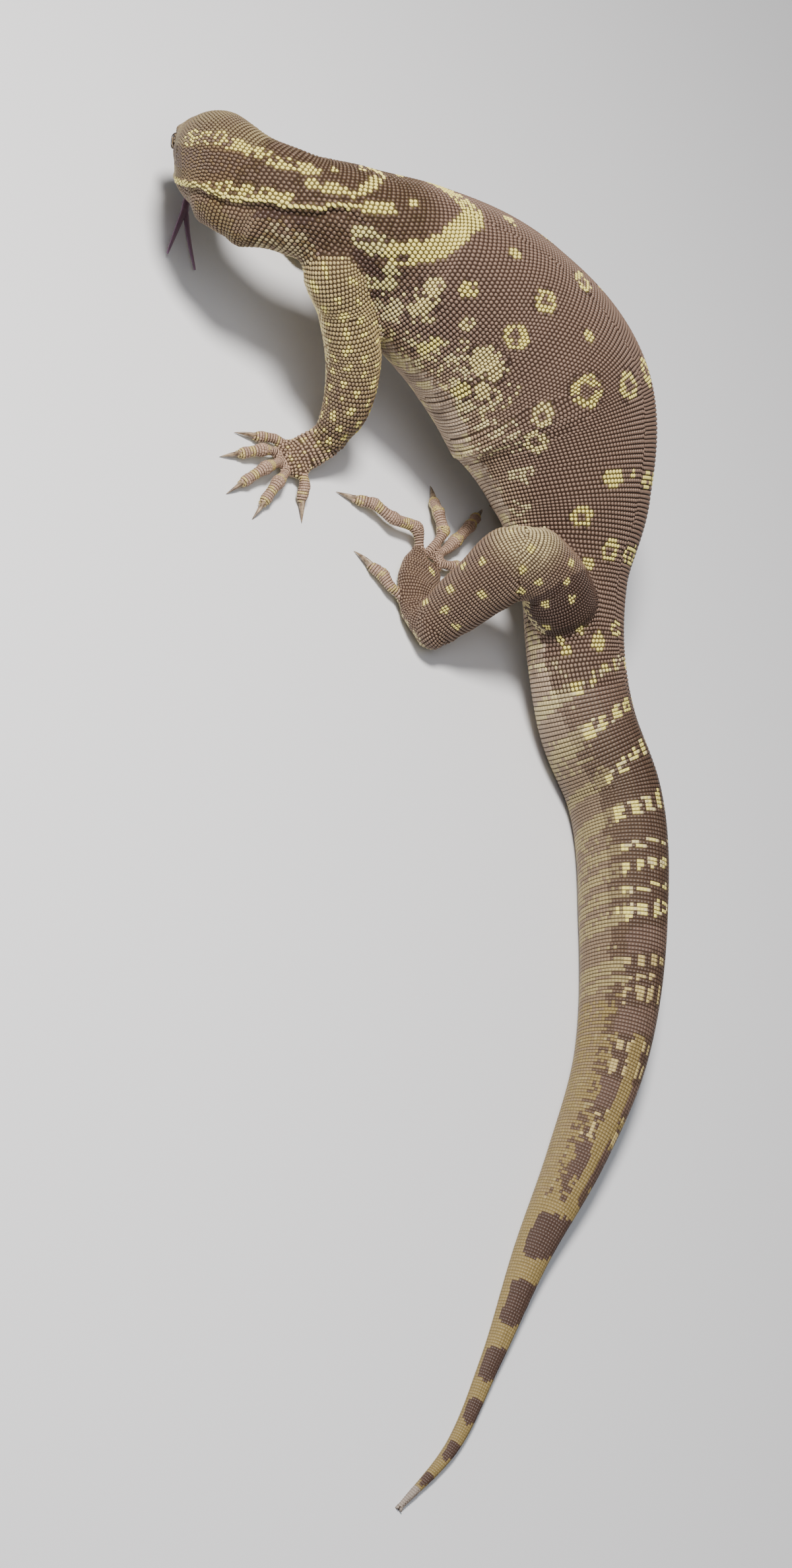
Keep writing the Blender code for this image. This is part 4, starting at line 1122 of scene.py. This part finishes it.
def scale_form(name, outline, shoulder, peak, domed=False, rim_shade=0.15):
    """One scale, a unit long and wide: a sunk rim painted dark, partly as shade, one or two raised rings
    and a peak painted paler as a highlight.
    """
    sides = len(outline)
    px, py, pz = peak
    sunk = (1.0, -0.42)
    if domed:
        rings = [sunk, (shoulder, 0.35 * pz), (0.55 * shoulder, 0.9 * pz)]
    else:
        rings = [sunk, (shoulder, 0.7 * pz)]
    points = [(x * size + px * (1 - size), y * size + py * (1 - size), z)
              for size, z in rings for x, y in outline]
    points.append(peak)
    faces = []
    last = (len(rings) - 1) * sides
    for a in range(0, last, sides):
        faces += [(a + k, a + (k + 1) % sides, a + sides + (k + 1) % sides, a + sides + k)
                  for k in range(sides)]
    faces += [(last + k, last + (k + 1) % sides, last + sides) for k in range(sides)]
    mesh = bpy.data.meshes.new(name)
    mesh.from_pydata(points, [], faces)
    put_attribute(mesh, "patch", "FLOAT_VECTOR", points)
    # the rim is blended towards the hide's brown and deepened as painted shade in the crease at the scale's
    # foot, and the peak is painted paler as a highlight
    put_attribute(mesh, "shade", "FLOAT", [rim_shade] * sides + [0.9] * sides + [1.0] * (last - sides) + [1.04])
    shade_smooth(mesh)
    return new_object(name, mesh)


def rounded(sides, corner, first=0.5):
    """An outline between a circle, corner 0, and a square, corner 1."""
    points = []
    for k in range(sides):
        turn = 2 * math.pi * (k + first) / sides
        c, n = math.cos(turn), math.sin(turn)
        reach = 0.5 * ((1 - corner) + corner / max(abs(c), abs(n)))
        points.append((c * reach, n * reach))
    return points


scale_forms = {
    "bead": scale_form("bead", rounded(7, 0.2), 0.84, (0.08, 0.0, 0.30), domed=True),
    "plate": scale_form("plate", rounded(8, 0.85, 0.0), 0.86, (0.08, 0.0, 0.20), rim_shade=0.35),
    "granule": scale_form("granule", rounded(7, 0.2), 0.78, (0.0, 0.0, 0.30)),
    "scute": scale_form("scute", rounded(8, 0.75, 0.0), 0.84, (0.12, 0.0, 0.24), rim_shade=0.4),
}

coat_tree = bpy.data.node_groups.new("scales in rows", "GeometryNodeTree")
coat_tree.interface.new_socket("Geometry", in_out="INPUT", socket_type="NodeSocketGeometry")
coat_tree.interface.new_socket("Geometry", in_out="OUTPUT", socket_type="NodeSocketGeometry")
form_socket = coat_tree.interface.new_socket("Scale form", in_out="INPUT", socket_type="NodeSocketObject")
horn_socket = coat_tree.interface.new_socket("Scale material", in_out="INPUT",
                                             socket_type="NodeSocketMaterial")
given = add(coat_tree, "NodeGroupInput")
form = add(coat_tree, "GeometryNodeObjectInfo", {"Object": given.outputs["Scale form"]})


def named(name):
    node = add(coat_tree, "GeometryNodeInputNamedAttribute", {"Name": name}, data_type="FLOAT_VECTOR")
    return node.outputs["Attribute"]


upright = add(coat_tree, "FunctionNodeAlignRotationToVector", {"Vector": named("outward")}, axis="Z")
laid = add(coat_tree, "FunctionNodeAlignRotationToVector",
           {"Rotation": upright.outputs["Rotation"], "Vector": named("tailward")},
           axis="X", pivot_axis="Z")
set_out = add(coat_tree, "GeometryNodeInstanceOnPoints",
              {"Points": given.outputs["Geometry"], "Instance": form.outputs["Geometry"],
               "Rotation": laid.outputs["Rotation"], "Scale": named("size")})
real = add(coat_tree, "GeometryNodeRealizeInstances", {"Geometry": set_out.outputs["Instances"]})
coloured = add(coat_tree, "GeometryNodeSetMaterial",
               {"Geometry": real.outputs["Geometry"], "Material": given.outputs["Scale material"]})
add(coat_tree, "NodeGroupOutput", {"Geometry": coloured.outputs["Geometry"]})

# the brown that each scale's rim is blended towards: the hide's own brown, deepened as painted shade in the
# crease round the scale
rim_brown_and_shade = np.array(linear("#4B382B"))


def tinted_material(name, values):
    """A material that takes its colour from the tint at each point."""
    material, tree, shader = new_material(name, values)
    colour = add(tree, "ShaderNodeAttribute", attribute_name="tint")
    tree.links.new(colour.outputs["Color"], shader.inputs["Base Color"])
    return material


# dry horn: matt colour with a weak broad shine on each bead
scale_horn = tinted_material("dry scale horn", {"Roughness": 0.48})

# the place of each root on a flat unwrap: the trunk on the left, limbs and digits beside it
turn = (scales["angle"] / (2 * np.pi)) % 1.0
ends = {ON_BODY: [body.length], ON_LIMB: [loft.length for loft in limb_lofts],
        ON_DIGIT: [loft.length for loft in digit_lofts]}
unwrap = np.zeros((count, 3))
for which, left, breadth in ((ON_BODY, 0.01, 0.58), (ON_LIMB, 0.61, 0.19), (ON_DIGIT, 0.82, 0.17)):
    here = kind == which
    lengths = np.array(ends[which])
    part = scales["part"][here]
    unwrap[here, 0] = left + breadth * turn[here]
    unwrap[here, 1] = (part + 0.03 + 0.94 * s[here] / lengths[part]) / len(lengths)
thick = 0.45 * (scales["length"] + scales["width"]) * np.where(digit | throat, 0.65, 1.0)
scales["unwrap"] = unwrap
ringed = (below & (s > 165)) | (tail & (s > 500))
# on the upper tail and the digits neighbours in a row nearly join, so the grooves run across
joins = np.where(ringed, 1.12, 0.98) + np.where(ringed & upper_tail & ~low_side, 0.26, 0.0)
long = scales["length"] * np.where(ringed, 0.91 + 0.17 * smooth(s, 660, 880), 1.01)
broad = scales["width"] * np.where(digit, 1.08, joins)
scales["size"] = np.column_stack([long, broad, thick]) * fit[:, None]
scales["size"][on_band(jaw_fold, 1.3) & (folded > -60)] *= (1.3, 0.8, 1.0)
scales["tint"] = tint
worn_as = np.full(count, "bead", dtype="<U8")
worn_as[ringed] = "plate"
worn_as[(on_trunk & (s < 92)) | leg] = "granule"
worn_as[digit & (scales["outward"][:, 2] > 0.1)] = "scute"
most_triangles = 195000   # in one piece of the coat
patch_on_unwrap = 0.003   # the size of one scale's patch on the unwrap


def attribute_values(mesh, name, field, size):
    """The values of a mesh's attribute, one row of size numbers for each point."""
    values = np.empty(len(mesh.vertices) * size)
    mesh.attributes[name].data.foreach_get(field, values)
    return values.reshape(-1, size)


def opaque(colours):
    return np.column_stack([colours, np.ones(len(colours))])


def triangles_in(mesh):
    return sum(len(polygon.vertices) - 2 for polygon in mesh.polygons)


def coat_piece(name, table, form, material):
    """Turns points on the skin into one plain mesh of scales."""
    mesh = bpy.data.meshes.new(name)
    mesh.vertices.add(len(table["s"]))
    mesh.vertices.foreach_set("co", (table["place"] * METRES + slide).ravel())
    for key in ("outward", "tailward", "unwrap"):
        put_attribute(mesh, key, "FLOAT_VECTOR", table[key])
    put_attribute(mesh, "size", "FLOAT_VECTOR", table["size"] * METRES)
    put_attribute(mesh, "tint", "FLOAT_COLOR", opaque(table["tint"]))
    obj = new_object(name, mesh)
    modifier = obj.modifiers.new("scales", "NODES")
    modifier.node_group = coat_tree
    modifier[form_socket.identifier] = form
    modifier[horn_socket.identifier] = material
    obj.update_tag()
    plain = evaluated_mesh(obj)
    obj.modifiers.clear()
    obj.data = plain
    points = mesh_points(plain)
    points[:, 2] = np.maximum(points[:, 2], 0.0)
    plain.vertices.foreach_set("co", points.ravel())
    corners = np.empty(len(plain.loops), int)
    plain.loops.foreach_get("vertex_index", corners)
    painted_shade_and_highlight = attribute_values(plain, "shade", "value", 1)
    colours = attribute_values(plain, "tint", "color", 4)
    # each scale is darkened towards brown at its rim, as painted shade over the hide's colour, and made
    # paler at its peak as a painted highlight
    colours[:, :3] = colours[:, :3] * painted_shade_and_highlight + rim_brown_and_shade * (1 - np.minimum(painted_shade_and_highlight, 1.0))
    plain.attributes["tint"].data.foreach_set("color", colours.ravel())
    flat = (attribute_values(plain, "unwrap", "vector", 3)
            + attribute_values(plain, "patch", "vector", 3) * patch_on_unwrap)[:, :2]
    layer = plain.uv_layers.new(name="OFBake")
    layer.data.foreach_set("uv", flat[corners].ravel())
    for key in ("outward", "tailward", "unwrap", "patch", "size", "shade"):
        if key in plain.attributes:
            plain.attributes.remove(plain.attributes[key])
    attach(obj, "root")


for name, form in scale_forms.items():
    chosen = np.flatnonzero(worn_as == name)
    most = most_triangles // triangles_in(form.data)
    for number, first in enumerate(range(0, len(chosen), most), 1):
        which = chosen[first:first + most]
        coat_piece(f"{name}_scales_{number}", {key: value[which] for key, value in scales.items()},
                   form, scale_horn)
    bpy.data.objects.remove(form)

# The bare hide between the scales. On the real animal it is thin dark skin that stretches as the
# body bends, and the scales grow out of it. It is one closed mesh, nearly black brown, darker than
# the skin itself as painted shade in the gaps, with a trace of the nearest scale's colour.
trace = 0.08
tree = tree_of(place)
nearest = [tree.find(point)[1] for point in mesh_points(skin.data) / METRES]
# the hide's dark brown is deepened to nearly black as painted shade in the gaps between scales
hide_tint_with_gap_shade = trace * tint[nearest] + np.array(linear("#2A1C14"))
put_attribute(skin.data, "tint", "FLOAT_COLOR", opaque(hide_tint_with_gap_shade))
bare_hide = tinted_material("bare hide with painted gap shade", {"Roughness": 0.8, "Specular IOR Level": 0.15})
skin.data.materials.clear()
skin.data.materials.append(bare_hide)
settle(skin)
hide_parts(*[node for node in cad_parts
                    if not node.startswith(("claw_", "eye_", "tongue"))])
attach(skin, "root")

# The floor, the lights and the camera, which are not part of the model. The floor is smooth and
# painted pale grey. A soft lamp stands on the photo's upper side and a wide weak one by the
# camera, which frames the animal as the photo does.
floor_paint, tree, shader = new_material("pale floor paint",
                                         {"Base Color": rgba("#E2E3E6"), "Roughness": 0.8})
mesh = bpy.data.meshes.new("floor")
mesh.from_pydata([(-6, -6, 0), (6, -6, 0), (6, 6, 0), (-6, 6, 0)], [], [(0, 1, 2, 3)])
floor = new_object("floor", mesh)
floor.data.materials.append(floor_paint)

elevation = math.radians(42.0)
roll = math.radians(60.0)
distance = 1.7
photo_height = 2376       # pixels
pixel_size = 0.00035      # metres on the animal that one pixel of the photo shows
film_height = 36.0
aimed_at = np.array((0.025, -0.022, 0.030)) + slide
backward = np.array((0.0, -math.cos(elevation), math.sin(elevation)))
level_up = np.array((0.0, math.sin(elevation), math.cos(elevation)))
picture_right = math.cos(roll) * np.array((1.0, 0.0, 0.0)) + math.sin(roll) * level_up
picture_up = -math.sin(roll) * np.array((1.0, 0.0, 0.0)) + math.cos(roll) * level_up


def facing(place, target_back, up):
    """The matrix of a camera or lamp at a place, looking against target_back."""
    right = np.cross(up, target_back)
    axes = np.column_stack([unit(right), unit(np.cross(target_back, right)), unit(target_back)])
    matrix = Matrix(axes.tolist()).to_4x4()
    matrix.translation = place
    return matrix


camera = new_object("camera", bpy.data.cameras.new("camera"))
camera.matrix_world = facing(aimed_at + backward * distance, backward, picture_up)
camera.data.sensor_fit = "VERTICAL"
camera.data.sensor_height = film_height
camera.data.lens = film_height * distance / (photo_height * pixel_size)
camera.data.clip_start = 0.01
bpy.context.scene.camera = camera


def soft_box(name, offset, size, power, colour="#FFFFFF"):
    lamp = bpy.data.lights.new(name, "AREA")
    lamp.shape = "DISK"
    lamp.size = size
    lamp.energy = power
    lamp.color = linear(colour)
    obj = new_object(name, lamp)
    obj.matrix_world = facing(aimed_at + offset, offset, picture_up + 0.01)


soft_box("key", picture_up * 0.85 + backward * 1.06 + picture_right * 0.20, 0.30, 36.0, "#FFFAF4")
soft_box("fill", backward * 1.6 + picture_right * 0.4 + picture_up * 0.3, 1.0, 9.0, "#F4F7FF")
world = bpy.data.worlds.new("studio")
world.use_nodes = True
sky = world.node_tree.nodes["Background"]
sky.inputs["Color"].default_value = rgba("#E9EDF2")
sky.inputs["Strength"].default_value = 0.2
bpy.context.scene.world = world
